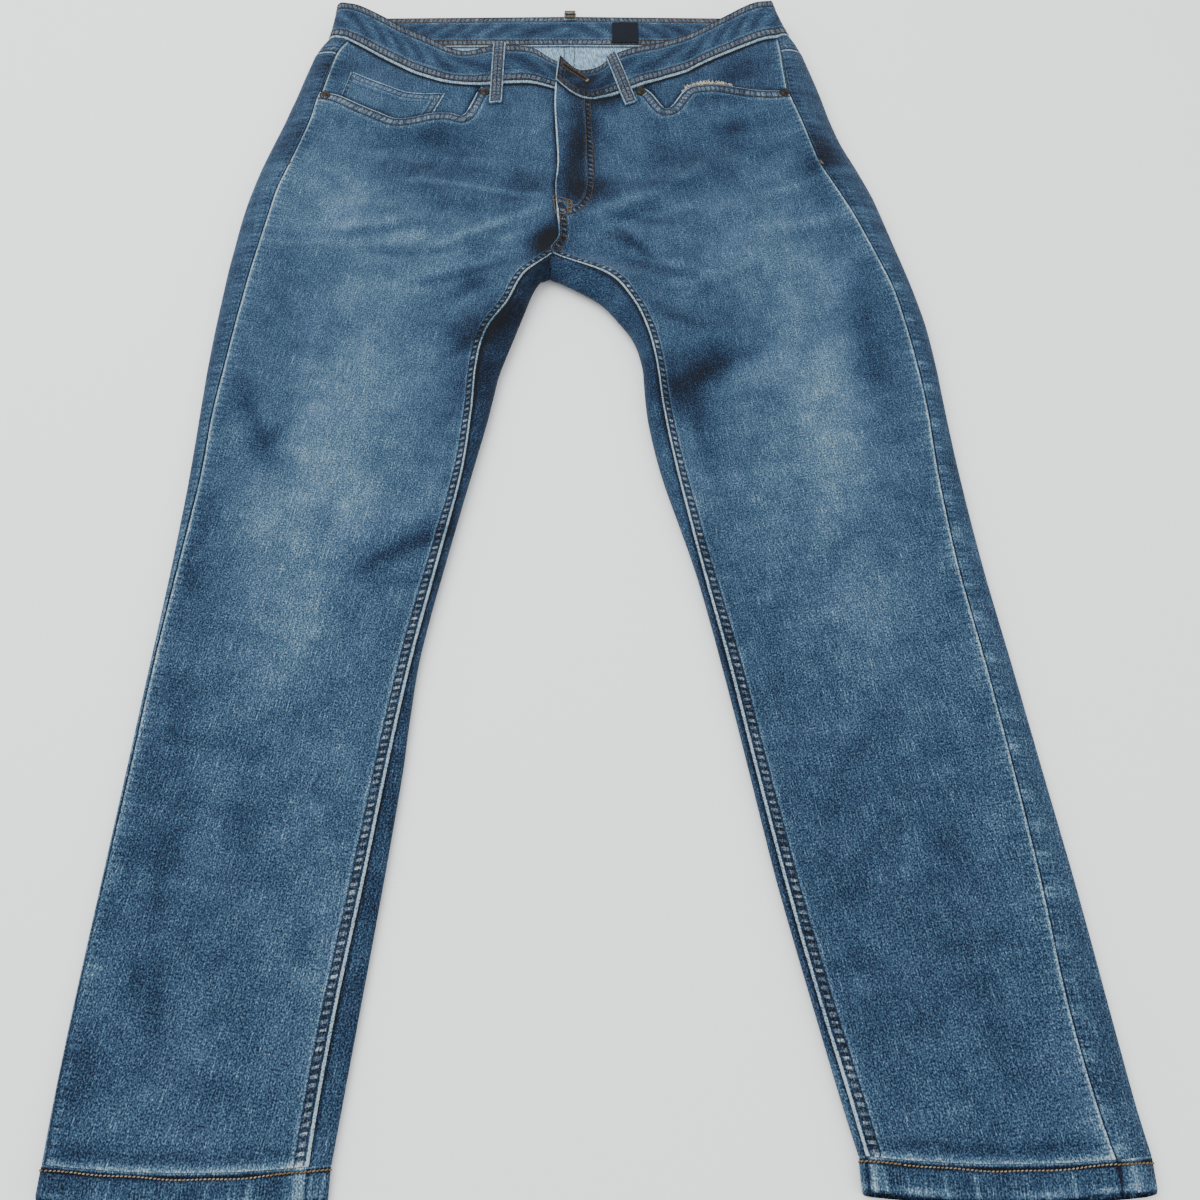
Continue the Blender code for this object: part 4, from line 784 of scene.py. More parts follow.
    # dark colour of the dark patches, partly smudge and partly painted shade, mixed over the denim
    smudgeAndShadeShare = put(tree, "ShaderNodeMath", {0: tone[1], 1: denim["smudgeAndShadeShare"]}, operation="MULTIPLY")
    smudgedAndShaded = put(tree, "ShaderNodeMix", {0: smudgeAndShadeShare.outputs[0], 6: greyed.outputs[2],
                                          7: colour(denim["smudgeAndShade"])}, data_type="RGBA")
    reverse = put(tree, "ShaderNodeValToRGB", {0: noises["grain"]})
    setRamp(reverse, denim["reverse"])
    both = put(tree, "ShaderNodeMix", {0: tone[2], 6: smudgedAndShaded.outputs[2], 7: reverse.outputs[0]},
               data_type="RGBA")

    height = stacked(0.0, [
        (noises["slub"], 1.0, 0.5), (noises["grain"], 1.0, 0.6), (bandRope, bandShare, 1.3),
        (plainRope, atPlain["Green"], 0.9), (atBand["Blue"], strength, -0.9)])
    bump = put(tree, "ShaderNodeBump", {"Strength": denim["reliefStrength"], "Distance": denim["relief"],
                                        "Height": height})
    shader = put(tree, "ShaderNodeBsdfPrincipled", {
        "Base Color": both.outputs[2], "Roughness": denim["roughness"], "Sheen Roughness": 0.5,
        "Specular IOR Level": denim["specular"], "Sheen Weight": denim["sheen"], "Normal": bump.outputs[0]})
    put(tree, "ShaderNodeOutputMaterial", {0: shader.outputs[0]})
    return material


# Plain material with fine variation: one colour, a second for its noise, roughness, metallic.
def simpleMaterial(name, first, second, size, rough, metallic=0.0, bumpHeight=0.0002):
    material = bpy.data.materials.new(name)
    material.use_nodes = True
    tree = material.node_tree
    tree.nodes.clear()
    at = put(tree, "ShaderNodeTexCoord").outputs["Object"]
    noise = put(tree, "ShaderNodeTexNoise", {"Vector": at, "Scale": 1.0 / size, "Detail": 3.0,
                                             "Roughness": 0.6})
    ramp = put(tree, "ShaderNodeValToRGB", {0: noise.outputs[0]})
    setRamp(ramp, [(0.35, first), (0.65, second)])
    bump = put(tree, "ShaderNodeBump", {"Strength": 0.5, "Distance": bumpHeight, "Height": noise.outputs[0]})
    shader = put(tree, "ShaderNodeBsdfPrincipled", {
        "Base Color": ramp.outputs[0], "Roughness": rough, "Metallic": metallic,
        "Specular IOR Level": 0.5 if metallic else 0.2, "Normal": bump.outputs[0]})
    put(tree, "ShaderNodeOutputMaterial", {0: shader.outputs[0]})
    return material


materials = {
    "face": denimMaterial("washedStretchDenim", 0.0, 0.3),
    "band": denimMaterial("washedStretchDenimBand", -0.06, 0.5),
    # a darker copy of the denim for the pieces that lie under or behind others: painted shade
    "shadedCopy": denimMaterial("washedStretchDenimShade", -0.04),
    "loop": denimMaterial("washedStretchDenimLoop", 0.02, 0.8),
    "brass": simpleMaterial("antiqueBrass", "#120f0d", "#2f2821", 0.0012, 0.45, 0.8, 0.0001),
    "navy": simpleMaterial("cottonThreadNavy", "#0c1119", "#2b3a49", 0.001, 0.85),
    "tonal": simpleMaterial("cottonThreadGreyBrown", "#211d1a", "#54493f", 0.001, 0.85),
    "brown": simpleMaterial("cottonThreadBrown", "#2c231b", "#584735", 0.001, 0.85),
    "gold": simpleMaterial("cottonThreadGold", "#3f3222", "#85704c", 0.0012, 0.85),
    "sand": simpleMaterial("cottonThreadSand", "#4f4335", "#a39079", 0.001, 0.8),
    "pale": simpleMaterial("cottonWeftCream", "#a3977f", "#e0d8c6", 0.0012, 0.85),
    "label": simpleMaterial("wovenSatinNavy", "#04070e", "#0d1420", 0.0006, 0.85, 0.0, 0.00006),
    "tape": simpleMaterial("zipTapeNavy", "#111a26", "#1e2a39", 0.0008, 0.85),
    "slot": simpleMaterial("buttonholeShadow", "#07090c", "#12151a", 0.001, 0.9),
}
print("stage 2: materials")


# Where a surface's distance value first passes a given one, scanned inwards from the grid's last column.
def traceInwards(grid, normals, away, value):
    grid, normals, away = grid[:, ::-1], normals[:, ::-1], away[:, ::-1]
    k = np.clip((away > value).argmax(axis=1), 1, away.shape[1] - 1)
    i = np.arange(len(grid))
    a, b = away[i, k - 1], away[i, k]
    t = np.clip((value - a) / np.where(np.abs(b - a) < 1e-9, 1.0, b - a), 0.0, 1.0)[:, None]
    return grid[i, k - 1] + t * (grid[i, k] - grid[i, k - 1]), normals[i, k]


# Sewn stitches: one small five-sided spindle a stitch, laid along each path at an even pitch.
def sewn(name, paths, material, pitch=0.0032, length=0.0025, width=0.00062, lean=0.0, lift=0.00012):
    centres, ways, ups = [], [], []
    for points, normals in paths:
        run = runOf(points)
        at = np.arange(pitch / 2, run[-1], pitch)
        if len(at) == 0:
            continue
        pick = lambda values, where: np.stack([np.interp(where, run, values[:, k]) for k in range(3)], 1)
        centres.append(pick(points, at))
        ways.append(pick(points, at + length / 2) - pick(points, at - length / 2))
        ups.append(pick(np.broadcast_to(normals, points.shape), at))
    centre, way, up = np.concatenate(centres), np.concatenate(ways), np.concatenate(ups)
    way /= np.maximum(np.linalg.norm(way, axis=1, keepdims=True), 1e-9)
    up -= (up * way).sum(1, keepdims=True) * way
    up /= np.linalg.norm(up, axis=1, keepdims=True)
    across = np.cross(up, way)
    c, d = math.cos(lean), math.sin(lean)
    way, across = way * c + across * d, across * c - way * d
    ends = np.array([(-.5, .35, -.5), (-.28, 1, 0), (.28, 1, 0), (.5, .35, -.5)])  # along, width, height
    turn = np.arange(5) * 2 * math.pi / 5
    along = np.repeat(ends[:, 0], 5) * length
    wide = np.repeat(ends[:, 1], 5) * width / 2
    local = np.stack([along, wide * np.tile(np.cos(turn), 4),
                      wide * 0.8 * np.tile(np.sin(turn), 4) + np.repeat(ends[:, 2], 5) * width / 2], 1)
    points = (centre[:, None] + up[:, None] * lift + local[None, :, 0:1] * way[:, None]
              + local[None, :, 1:2] * across[:, None] + local[None, :, 2:3] * up[:, None]).reshape(-1, 3)
    points[:, 1] -= middleY
    points[:, 2] = np.maximum(points[:, 2], 0.0)
    ring, k = np.arange(5), (np.arange(5) + 1) % 5
    sides = np.concatenate([np.stack([ring, k, k + 5, ring + 5], 1) + 5 * s for s in range(3)])
    start = np.arange(len(centre)) * 20
    quads = (sides[None] + start[:, None, None]).reshape(-1, 4).tolist()
    caps = (np.stack([ring[::-1], ring + 15])[None] + start[:, None, None]).reshape(-1, 5).tolist()
    mesh = bpy.data.meshes.new(name)
    mesh.from_pydata(points.tolist(), [], quads + caps)
    mesh.polygons.foreach_set("use_smooth", np.ones(len(mesh.polygons), bool))
    mesh.update()
    print(f"  thread {name}: {len(centre)} stitches")
    return place(name, mesh, material, "denim")


floorFree = 0.004  # height at which cloth is clear of the floor and its relief is full
seatStrength = 1.8

# Front panels
# Seams are (amount, width, start) for seamChannel, streaks are (amount, width in m).
frontCloth = {"step": 0.0024, "columns": 46, "grainLean": 0.18, "mouthEnd": {"R": 9, "L": 11},
              "inseam": (1.0, 0.0), "mouth": (1.9, 1.1, 0.0), "rise": (0.9, 0.9, 0.0), "fly": (0.8, 1.0, 2.6),
              "side": (0.9, 1.0, 0.6), "legWidth": (0.66, 0.34, 0.62, 0.28), "riseTop": 15.2, "flyEdge": 1.5,
              # the streaks under the waistband and beside the fly are painted shadows of their edges
              "paintedShadeUnderWaist": (0.92, 0.0024), "hemTop": (0.4, 0.0024), "hemShade": (0.1, 0.004),
              "hemShadeAt": 0.0085, "shadowBesideFly": (0.3, 0.0022), "shadowBesideFlyFrom": 14.6, "frontWidth": 0.25,
              "ridge": 0.00055, "ridgeEdges": (1.5, 9.0, 2.5), "dip": (0.0005, 0.8), "sideDip": 0.0003,
              "calm": 12.0}
stitchRows = (3.1, 8.8)  # where a seam's two rows lie, in mm from its edge
flyStitch = np.array([(-.008, .936), (-.0068, .905), (-.0052, .866), (-.0045, .829), (-.0068, .813),
                      (-.013, .799), (-.0225, .7905), (-.034, .787)])
threadPaths = {"navy": [], "tonal": [], "brown": [], "gold": []}
fronts = {}


# Share of a front panel's width at which a section of the waist stands.
def sectionShare(side, w):
    rows = [s[0] if s[6] is None else s[6] for s in waistRows[side]]
    x = curve(np.array(rows)[:, None], np.array(float(w)))[..., 0]
    return float((x - rows[0]) / (rows[-1] - rows[0]))


# How clearly the side seam shows: on the right leg it rolls under the edge below the knee.
def sideSeen(side, y):
    return ease((y - 0.1) / 0.25) if side == "R" else 1.0 + 0 * y


# A front panel: its surface drawn in by half the gap at both seams, with the felled seams raised beside
# their edges, loose cloth between them, and the grain leaning with the leg.
def frontPanel(side):
    c = frontCloth
    u = evenLevels(side, 0.0, pocket, c["step"])
    r = edgeColumns(c["columns"])
    grid = frontSurface(side, u[:, None], r[None, :])
    for edge, other in ((0, 1), (-1, -2)):
        way = grid[:, other, :2] - grid[:, edge, :2]
        grid[:, edge, :2] += way / np.linalg.norm(way, axis=-1, keepdims=True) * gap / 2
    grid[0, :, 1] += gap
    inner, top = grid[:, -1, :2], grid[-1, :, :2]
    mouth = top[r <= sectionShare(side, c["mouthEnd"][side])]
    least, more, above, fade = c["legWidth"]
    legWidth = least + more * ease((above - grid[..., 1]) / fade)
    lines = [(inner[u <= crotch + 0.02], c["inseam"][0], 0, legWidth, c["inseam"][1]),
             (mouth, c["mouth"][0], 0, *c["mouth"][1:])]
    if side == "L":
        lines += [(inner[(u >= crotch) & (u <= c["riseTop"])], c["rise"][0], 0, *c["rise"][1:]),
                  (flyStitch, c["fly"][0], -1, *c["fly"][1:])]
    band = seamChannel(grid[..., :2], lines)
    if side == "L":
        edge = nearLine(grid[..., :2], inner[u > c["riseTop"]])[0] * 1000
        band[..., 0] = np.where(edge < c["flyEdge"], np.minimum(edge, band[..., 0]), band[..., 0])
        band[..., 2] = np.where(edge < c["flyEdge"], 1.0, band[..., 2])
    sideLine = seamChannel(grid[..., :2], [(grid[:, 0, :2], c["side"][0], 0, *c["side"][1:])])
    seen = sideSeen(side, grid[..., 1])
    sideLine[..., 2] *= seen
    light, smudgeAndShade = washAndShadeAt(grid[..., 0], grid[..., 1])
    # painted shadow of the waistband's lower edge along the panel's top
    waistAway = nearLine(grid[..., :2], np.array([s[:2] for s in waistRows[side]]))[0]
    light = light - streak(waistAway, c["paintedShadeUnderWaist"])
    hemAway = grid[..., 1] - grid[0, :, 1]
    light = light + streak(hemAway, c["hemTop"]) - streak(hemAway - c["hemShadeAt"], c["hemShade"])
    # painted shadow of the left panel's fly edge, which lies over the right panel by the centre front
    if side == "R":
        flyAway = np.where((u > c["shadowBesideFlyFrom"])[:, None], (1 - r[None, :]) * c["frontWidth"], 1.0)
        light = light - streak(flyAway, c["shadowBesideFly"])
    normals = surfaceNormals(grid, sideSign[side], passes=2)
    d = band[..., 0]
    rise, fall, soft = c["ridgeEdges"]
    ridge = c["ridge"] * band[..., 2] * ease(d / rise) * (1 - ease((d - fall) / soft))
    ridge = ridge - streak(d, c["dip"]) - c["sideDip"] * seen * bell(sideLine[..., 0], c["dip"][1])
    calm = ease(np.minimum(d, sideLine[..., 0]) / c["calm"])
    grid = grid + normals * (ridge + calm * looseness(grid[..., 0], grid[..., 1]))[..., None]
    lean = sideSign[side] * c["grainLean"]
    across = grid[..., 0] * math.cos(lean) - grid[..., 1] * math.sin(lean)
    along = grid[..., 1] * math.cos(lean) + grid[..., 0] * math.sin(lean)
    looks = {"uv": np.stack([across, along], -1), "band": band, "plain": sideLine, "tone": (light, smudgeAndShade)}
    clothPiece("frontPanel" + side, grid, normals, denimThick, looks, materials["face"], "denim",
               ["front_panel_" + side], inside=1.0)
    normals = surfaceNormals(grid, sideSign[side])
    legs, seat = u <= crotch, (u > crotch) & (u < c["riseTop"] - 0.1)
    seamAway = seamChannel(grid[..., :2], lines[:1])[..., 0]
    for value in stitchRows:
        points, ups = traceInwards(grid, normals, seamAway, value)
        threadPaths["navy"].append((points[legs], ups[legs]))
    mouthAway = seamChannel(grid[..., :2], lines[1:2])[..., 0]
    columns = r <= sectionShare(side, c["mouthEnd"][side])
    for value in stitchRows:
        points, ups = traceInwards(grid.transpose(1, 0, 2), normals.transpose(1, 0, 2), mouthAway.T, value)
        threadPaths["tonal"].append((points[columns], ups[columns]))
    if side == "L":
        cfAway = seamChannel(grid[..., :2], lines[2:3])[..., 0]
        for value in stitchRows:
            points, ups = traceInwards(grid, normals, cfAway, value)
            threadPaths["brown"].append((points[seat], ups[seat]))
    fronts[side] = {"grid": grid, "normals": normals, "r": r, "u": u}


# Points of a panel's surface under a plan line: the nearest grid point's height and normal.
def onSurface(grid, normals, line, lift=0.0):
    flat, ups = grid.reshape(-1, 3), normals.reshape(-1, 3)
    away = ((line[:, None, :2] - flat[None, :, :2]) ** 2).sum(-1)
    near = np.argpartition(away, 4, axis=1)[:, :4]
    weight = 1.0 / (np.take_along_axis(away, near, 1) + 1e-9)
    weight /= weight.sum(1, keepdims=True)
    z = (flat[near, 2] * weight).sum(1)
    up = (ups[near] * weight[..., None]).sum(1)
    return np.column_stack([line[:, :2], z + lift]), up / np.linalg.norm(up, axis=1, keepdims=True)


frontPanel("R")
frontPanel("L")
print("stage 3: front panels")

# Back panels and yokes
backCloth = {"step": 0.003, "turn": 14, "flat": 26, "sideLine": 0.5, "floorNear": 0.006, "under": 0.04,
             "crotchTop": 0.76, "inseamShade": (0.34, 0.0015), "sideShade": (0.26, 0.001),
             "dip": (0.0004, 0.9), "ridge": (0.00025, 2, 8, 4), "bars": 0.03, "hipShade": 0.05,
             "hip": (0.4, 0.15),
             "paleBars": {"R": 0.06, "L": 0.26}, "paleReach": 0.008, "paleTop": 0.75,
             "foldWear": {"R": 0.2, "L": 0.05}, "foldFrom": (0.85, 0.3), "foldLess": 0.45,
             "thighShade": {"R": 0.1, "L": 0.05}, "thigh": (0.5, 0.14, 0.8),
             "innerShade": {"R": 0.11, "L": 0.02}, "innerFrom": (0.02, 0.12), "beside": 0.05}


# A back panel's or yoke's grid: rows round the leg at coarse levels, smoothed up the leg.
def backGrid(side, coarse, count):
    rows = np.array([backRow(side, u, backCloth["turn"], backCloth["flat"]) for u in coarse])
    return curve(rows, np.linspace(0, len(rows) - 1, count))


# A back panel or yoke: one sheet round both folds. across and back are the distances from its two edges,
# the side seam's and the inseam's. Wear fades where the cloth turns under, and painted shade darkens it
# there.
def backPiece(name, side, coarse, lengthM, node, seatBand):
    c = backCloth
    grid = backGrid(side, coarse, int(lengthM / c["step"]))
    normals = surfaceNormals(grid, -sideSign[side], passes=2)
    steps = np.linalg.norm(np.diff(grid, axis=1), axis=-1)
    across = np.concatenate([np.zeros((len(grid), 1)), np.cumsum(steps, 1)], 1)
    back = across[:, -1:] - across
    x, y, z = np.moveaxis(grid, -1, 0)
    sideRun = runOf(grid[:, 0])[:, None] + 0 * across
    endRun = runOf(grid[:, -1])[:, None] + 0 * across
    plain = np.stack([across * 1000, sideRun * 1000, c["sideLine"] + 0 * across], -1)
    plain = np.where((across < back)[..., None], plain, np.array(noSeam))
    band = np.broadcast_to(noSeam, grid.shape).copy()
    light, smudgeAndShade = washAndShadeAt(x, y)
    # painted shade: cloth turning under near the floor loses its wear and is darkened
    lower = ease((c["floorNear"] - z) / c["floorNear"])
    light = light * (1 - lower) - c["under"] * lower
    seen = sideSeen(side, y)
    light = light - streak(back, c["inseamShade"]) * (y < c["crotchTop"])
    light = light - c["sideShade"][0] * seen * bell(across, c["sideShade"][1])
    # the seam allowance shows through beside the side seam as dark and light bars, and the fold is worn
    uneven = 1.6 * np.sin(sideRun * 103) + 0.9 * np.sin(sideRun * 170 + 1)
    bars = np.tanh(2.2 * np.sin(sideRun * 2 * math.pi / 0.0125 + uneven))
    pale = np.maximum(np.sin(sideRun * 2 * math.pi / 0.026 + 1.3 * np.sin(sideRun * 61)), 0) ** 3
    beside = (across < c["beside"]) * (back > 0.03) * (1 - lower)
    height = z / np.maximum(z[:, :1], 1e-6)
    upper = ease((y - c["hip"][0]) / c["hip"][1])
    worn = c["foldWear"][side] * ease((c["foldFrom"][0] - height) / c["foldFrom"][1])
    worn = worn * (1 - c["foldLess"] * upper)
    paleBars = c["paleBars"][side] * pale * bell(across, c["paleReach"]) * (y < c["paleTop"])
    light = light + beside * (c["bars"] * seen * bars * upper - c["hipShade"] * upper + paleBars + worn)
    innerSide = (back < across) & (back < c["beside"])
    thighFrom, thighSoft, thighTop = c["thigh"]
    thigh = c["thighShade"][side] * ease((y - thighFrom) / thighSoft) * (y < thighTop)
    inner = c["innerShade"][side] * ease((y - c["innerFrom"][0]) / c["innerFrom"][1])
    light = light - np.where(innerSide, thigh + inner, 0.0)
    seat = seatBand(grid, back, endRun)
    band = np.where(seat[..., 2:] > 0, seat, band)
    plain = np.where((seat[..., 2:] > 0) & innerSide[..., None], np.array(noSeam), plain)
    away = np.minimum(across, back) * 1000
    ridge, rise, fall, soft = c["ridge"]
    relief = -streak(away, c["dip"]) + ridge * ease(away / rise) * (1 - ease((away - fall) / soft))
    relief = relief * ease(z / floorFree) * np.where(across < back, seen, 1.0)
    grid = grid + normals * relief[..., None]
    grid[..., 2] = np.maximum(grid[..., 2], 0.0)
    looks = {"uv": np.stack([across, sideRun], -1), "band": band, "plain": plain, "tone": (light, smudgeAndShade)}
    clothPiece(name, grid, normals, denimThick, looks, materials["shadedCopy"], "denim_shade", [node], inside=1.0)


# The felled seam up the seat, beside a back panel's last column.
def seatSeam(grid, back, endRun):
    on = (grid[..., 1] > 0.735) & (back < 0.02)
    return np.stack([np.where(on, back * 1000 + 0.5, noSeam[0]), endRun * 1000, on * seatStrength], -1)


# The felled seams along a yoke's lower edge and up its last column, whichever is nearer.
def yokeSeam(grid, back, endRun):
    low = (grid[..., 1] - grid[:1, :, 1]) * 1000
    run = runOf(grid[0])[None] * 1000
    on = low < back * 1000
    away, along = np.where(on, low, back * 1000), np.where(on, run, endRun * 1000)
    return np.stack([away, along, seatStrength + 0 * back], -1)


cadLevels = np.concatenate([np.linspace(0, 9, 19), np.arange(10, crotch), np.linspace(crotch, crotch + 2, 5),
                            np.arange(crotch + 3, pocket + 1), [pocket + 0.5, yoke]])
yokeLevels = np.array([yoke + 0.012, yoke + 0.5, waist])
for side in ("R", "L"):
    backPiece("backPanel" + side, side, cadLevels, 0.98, "back_panel_" + side, seatSeam)
    backPiece("backYoke" + side, side, yokeLevels, 0.066, "back_yoke_" + side, yokeSeam)
print("stage 4: back panels and yokes")

# Waistband
bandCloth = {"rows": 27, "frontStep": 0.11, "foldSteps": 18, "backSteps": 96, "height": 42.0, "topShift": 2.6,
             "seamWidth": 1.05, "strength": 1.95, "runStretch": 1200, "topApart": 937, "endApart": 500,
             "dip": (0.0007, 0.9), "ridge": (0.0003, 1.6, 7.5, 2.0), "washAndShade": 0.4, "rest": -0.04,
             "paintedRipple": 0.09, "tabShade": 0.24, "tab": (0.01, 0.07), "threadRows": (3.3, 9.2, 35.4, 41.1),
             "threadFrom": {"R": 0.052, "L": 0.002}, "backFrom": 0.02}


# One half of the waistband: along the front from its end, round the side fold, then back to the centre.
# Its stitched borders run along both edges and round its front end; between them ripples of the cloth are
# painted as light and dark waves.
def waistband(side):
    c, sign = bandCloth, sideSign[side]
    v = np.linspace(0.0, 1.0, c["rows"])[:, None]
    last = len(waistRows[side]) - 1 + (len(underlapRows) if side == "R" else 0)
    w = np.linspace(last, 0.0, int(last / c["frontStep"]))
    front = bandPoint(side, w[None, :], v)
    first, s = waistRows[side][0], shapeAt(side, float(waist))
    angles = np.linspace(0.0, math.pi, c["foldSteps"] + 1)[1:]
    low = fold(np.array(first[:3]), np.array([s["xFold"], s["yFold"]]), np.array([-sign, 0.0]), angles)
    high = fold(np.array(first[3:6]), np.array(bandTopFold[side]), np.array([-sign, 0.0]), angles)
    sideFold = low + v[..., None] * (high - low)
    sideFold[..., 2] += backPlace["bandLift"] * np.linspace(0, 1, len(angles))
    t = np.linspace(0.0, 1.0, c["backSteps"] + 1)[1:, None]
    backX = backPlace["backX"] - sign * gap / 2
    lowEnd = np.array([backX, float(s["yEnd"]), backPlace["bandLift"]])
    highEnd = np.array([backX, backPlace["bandTopY"], backPlace["bandLift"]])
    backLow = sideFold[0, -1] + t * (lowEnd - sideFold[0, -1])
    backHigh = sideFold[-1, -1] + t * (highEnd - sideFold[-1, -1])
    grid = np.concatenate([front, sideFold, backLow + v[..., None] * (backHigh - backLow)], axis=1)
    normals = surfaceNormals(grid, -sign, passes=2)
    run = runOf(grid[len(v) // 2])
    up = v * c["height"] + 0 * run[None, :]
    down = c["height"] - up
    end = run[None, :] * 1000 + 0 * up
    away = np.minimum(np.minimum(up, down + c["topShift"]) / c["seamWidth"], end)
    along = np.where(end <= np.minimum(up, down), up + c["endApart"],
                     run[None, :] * c["runStretch"] + np.where(up < down, 0, c["topApart"]))
    band = np.stack([away, along, c["strength"] + 0 * away], -1)
    ridge, rise, fall, soft = c["ridge"]
    relief = -streak(away, c["dip"]) + ridge * ease(away / rise) * (1 - ease((away - fall) / soft))
    relief = relief * ease(grid[..., 2] / floorFree)
    grid = grid + normals * relief[..., None]
    light, smudgeAndShade = washAndShadeAt(grid[..., 0], grid[..., 1])
    # painted light and shade of ripples, strongest in the band's middle; the surface itself does not ripple
    paintedRipple = np.sin(run[None, :] * 210 + 2.5 * np.sin(up * 0.13) + 3 * np.sin(run[None, :] * 31))
    light = c["washAndShade"] * light + c["rest"] + c["paintedRipple"] * paintedRipple * np.sin(np.pi * v) ** 2
    if side == "L":
        tab = 1 - ease((run[None, :] - c["tab"][0]) / c["tab"][1])
        light = light - c["tabShade"] * tab * (away > c["topShift"])
    looks = {"uv": np.stack([up / 1000, run[None, :] + 0 * up], -1), "band": band, "tone": (light, smudgeAndShade)}
    clothPiece("waistband" + side, grid, normals, bandThick, looks, materials["band"], "denim",
               ["waistband_" + side])
    for value in c["threadRows"]:
        k = value / c["height"] * (len(v) - 1)
        a = int(k)
        line = grid[a] + (k - a) * (grid[a + 1] - grid[a])
        keep = run > c["threadFrom"][side]
        threadPaths["tonal"].append((line[keep], normals[a][keep]))
        back = run > run[len(w)] + c["backFrom"]
        threadPaths["gold"].append(((line - normals[a] * (bandThick + 0.0001))[back], -normals[a][back]))
    return grid, normals, run, len(w)


bands = {side: waistband(side) for side in ("R", "L")}
print("stage 5: waistband")

# Pocket facings, coin pocket
facingCloth = {"drop": 0.0028, "under": 1.6, "from": 0.008, "columns": 70, "lowRows": 13, "seamRows": 33,
               "fadeColumns": 8, "loose": 0.5, "looseFrom": (0.1, 0.3), "washAndShade": 0.5,
               "rest": {"R": -0.02, "L": -0.07},
               "shadowAtMouth": (0.35, 0.003), "paintedShadeUnderWaist": (0.9, 0.0022), "side": (1.0, 1.0, 0.6)}


# Cloth behind a pocket mouth: t = 0 at the mouth, 1 at the waist seam, below 0 under the front panel.
def facingSurface(side, r, t):
    r, t = np.broadcast_arrays(np.asarray(r, float), np.asarray(t, float))
    below = frontSurface(side, pocket + facingCloth["under"] * np.minimum(t, 0.0), r)
    below[..., 2] -= facingCloth["drop"]
    share = frontTop(side)[0]
    rows = [(s[0], s[1] - gap, s[2] - lay["bandStep"]) for s in waistRows[side]]
    line = curve(rows, np.linspace(0, len(rows) - 1, lineCount))
    seam = np.stack([np.interp(r, share, line[:, k]) for k in range(3)], axis=-1)
    return below + np.maximum(t, 0.0)[..., None] * (seam - below)


# A pocket facing, seen between the pocket mouth and the waist seam, shaded along both.
def pocketFacing(side):
    c = facingCloth
    mouth = sum(s[6] is not None for s in waistRows[side])
    r = np.linspace(c["from"], sectionShare(side, mouth - 1), c["columns"])
    seam = shapeAt(side, np.linspace(pocket, waist, c["seamRows"]))
    rise = (seam["ySide"] - seam["ySide"][0]) / (seam["ySide"][-1] - seam["ySide"][0])
    low, fadeTo = c["lowRows"], c["fadeColumns"]
    t = np.concatenate([np.linspace(-1, 0, low + 1)[:-1], rise])
    grid = facingSurface(side, r[None, :], t[:, None])
    grid[low:, 0, 0] = seam["xSide"] + sideSign[side] * gap
    fade = np.linspace(0, 1, fadeTo)[None, :]
    grid[low:, :fadeTo, 0] = grid[low:, :1, 0] + fade * (grid[low:, fadeTo - 1:fadeTo, 0] - grid[low:, :1, 0])
    normals = surfaceNormals(grid, sideSign[side], passes=2)
    loose = (c["loose"] * looseness(grid[..., 0] + 0.3, grid[..., 1]))[..., None]
    grid = grid + normals * loose * ease((t[:, None, None] - c["looseFrom"][0]) / c["looseFrom"][1])
    plan = grid[..., :2]
    mouthAway = nearLine(plan, frontSurface(side, float(pocket), r)[:, :2])[0]
    waistAway = nearLine(plan, np.array([s[:2] for s in waistRows[side]]))[0]
    light, smudgeAndShade = washAndShadeAt(plan[..., 0], plan[..., 1])
    # painted shadows under the pocket mouth's edge and under the waistband's lower edge
    light = (c["washAndShade"] * light + c["rest"][side] - streak(mouthAway, c["shadowAtMouth"])
             - streak(waistAway, c["paintedShadeUnderWaist"]))
    sideLine = seamChannel(plan, [(grid[low:, 0, :2], c["side"][0], 0, *c["side"][1:])])
    looks = {"uv": plan, "plain": sideLine, "tone": (light, smudgeAndShade)}
    clothPiece("pocketFacing" + side, grid, normals, denimThick, looks, materials["face"], "denim_facing",
               ["pocket_facing_" + side], inside=1.0)


for side in ("R", "L"):
    pocketFacing(side)
coin = {"left": 0.088, "rightLow": 0.46, "rightHigh": 0.505, "foot": -0.55, "topLeft": 0.5,
        "topRight": 0.64, "thick": 0.001,
        "swell": 0.0003, "tone": 0.02, "shadowAtMouth": (0.35, 0.003), "dip": (0.0005, 0.8),
        "top": (1.68, 0.9, 0.6), "right": (1.7, 0.9, 0.6), "leftSeam": (0.55, 0.5, 0.6)}


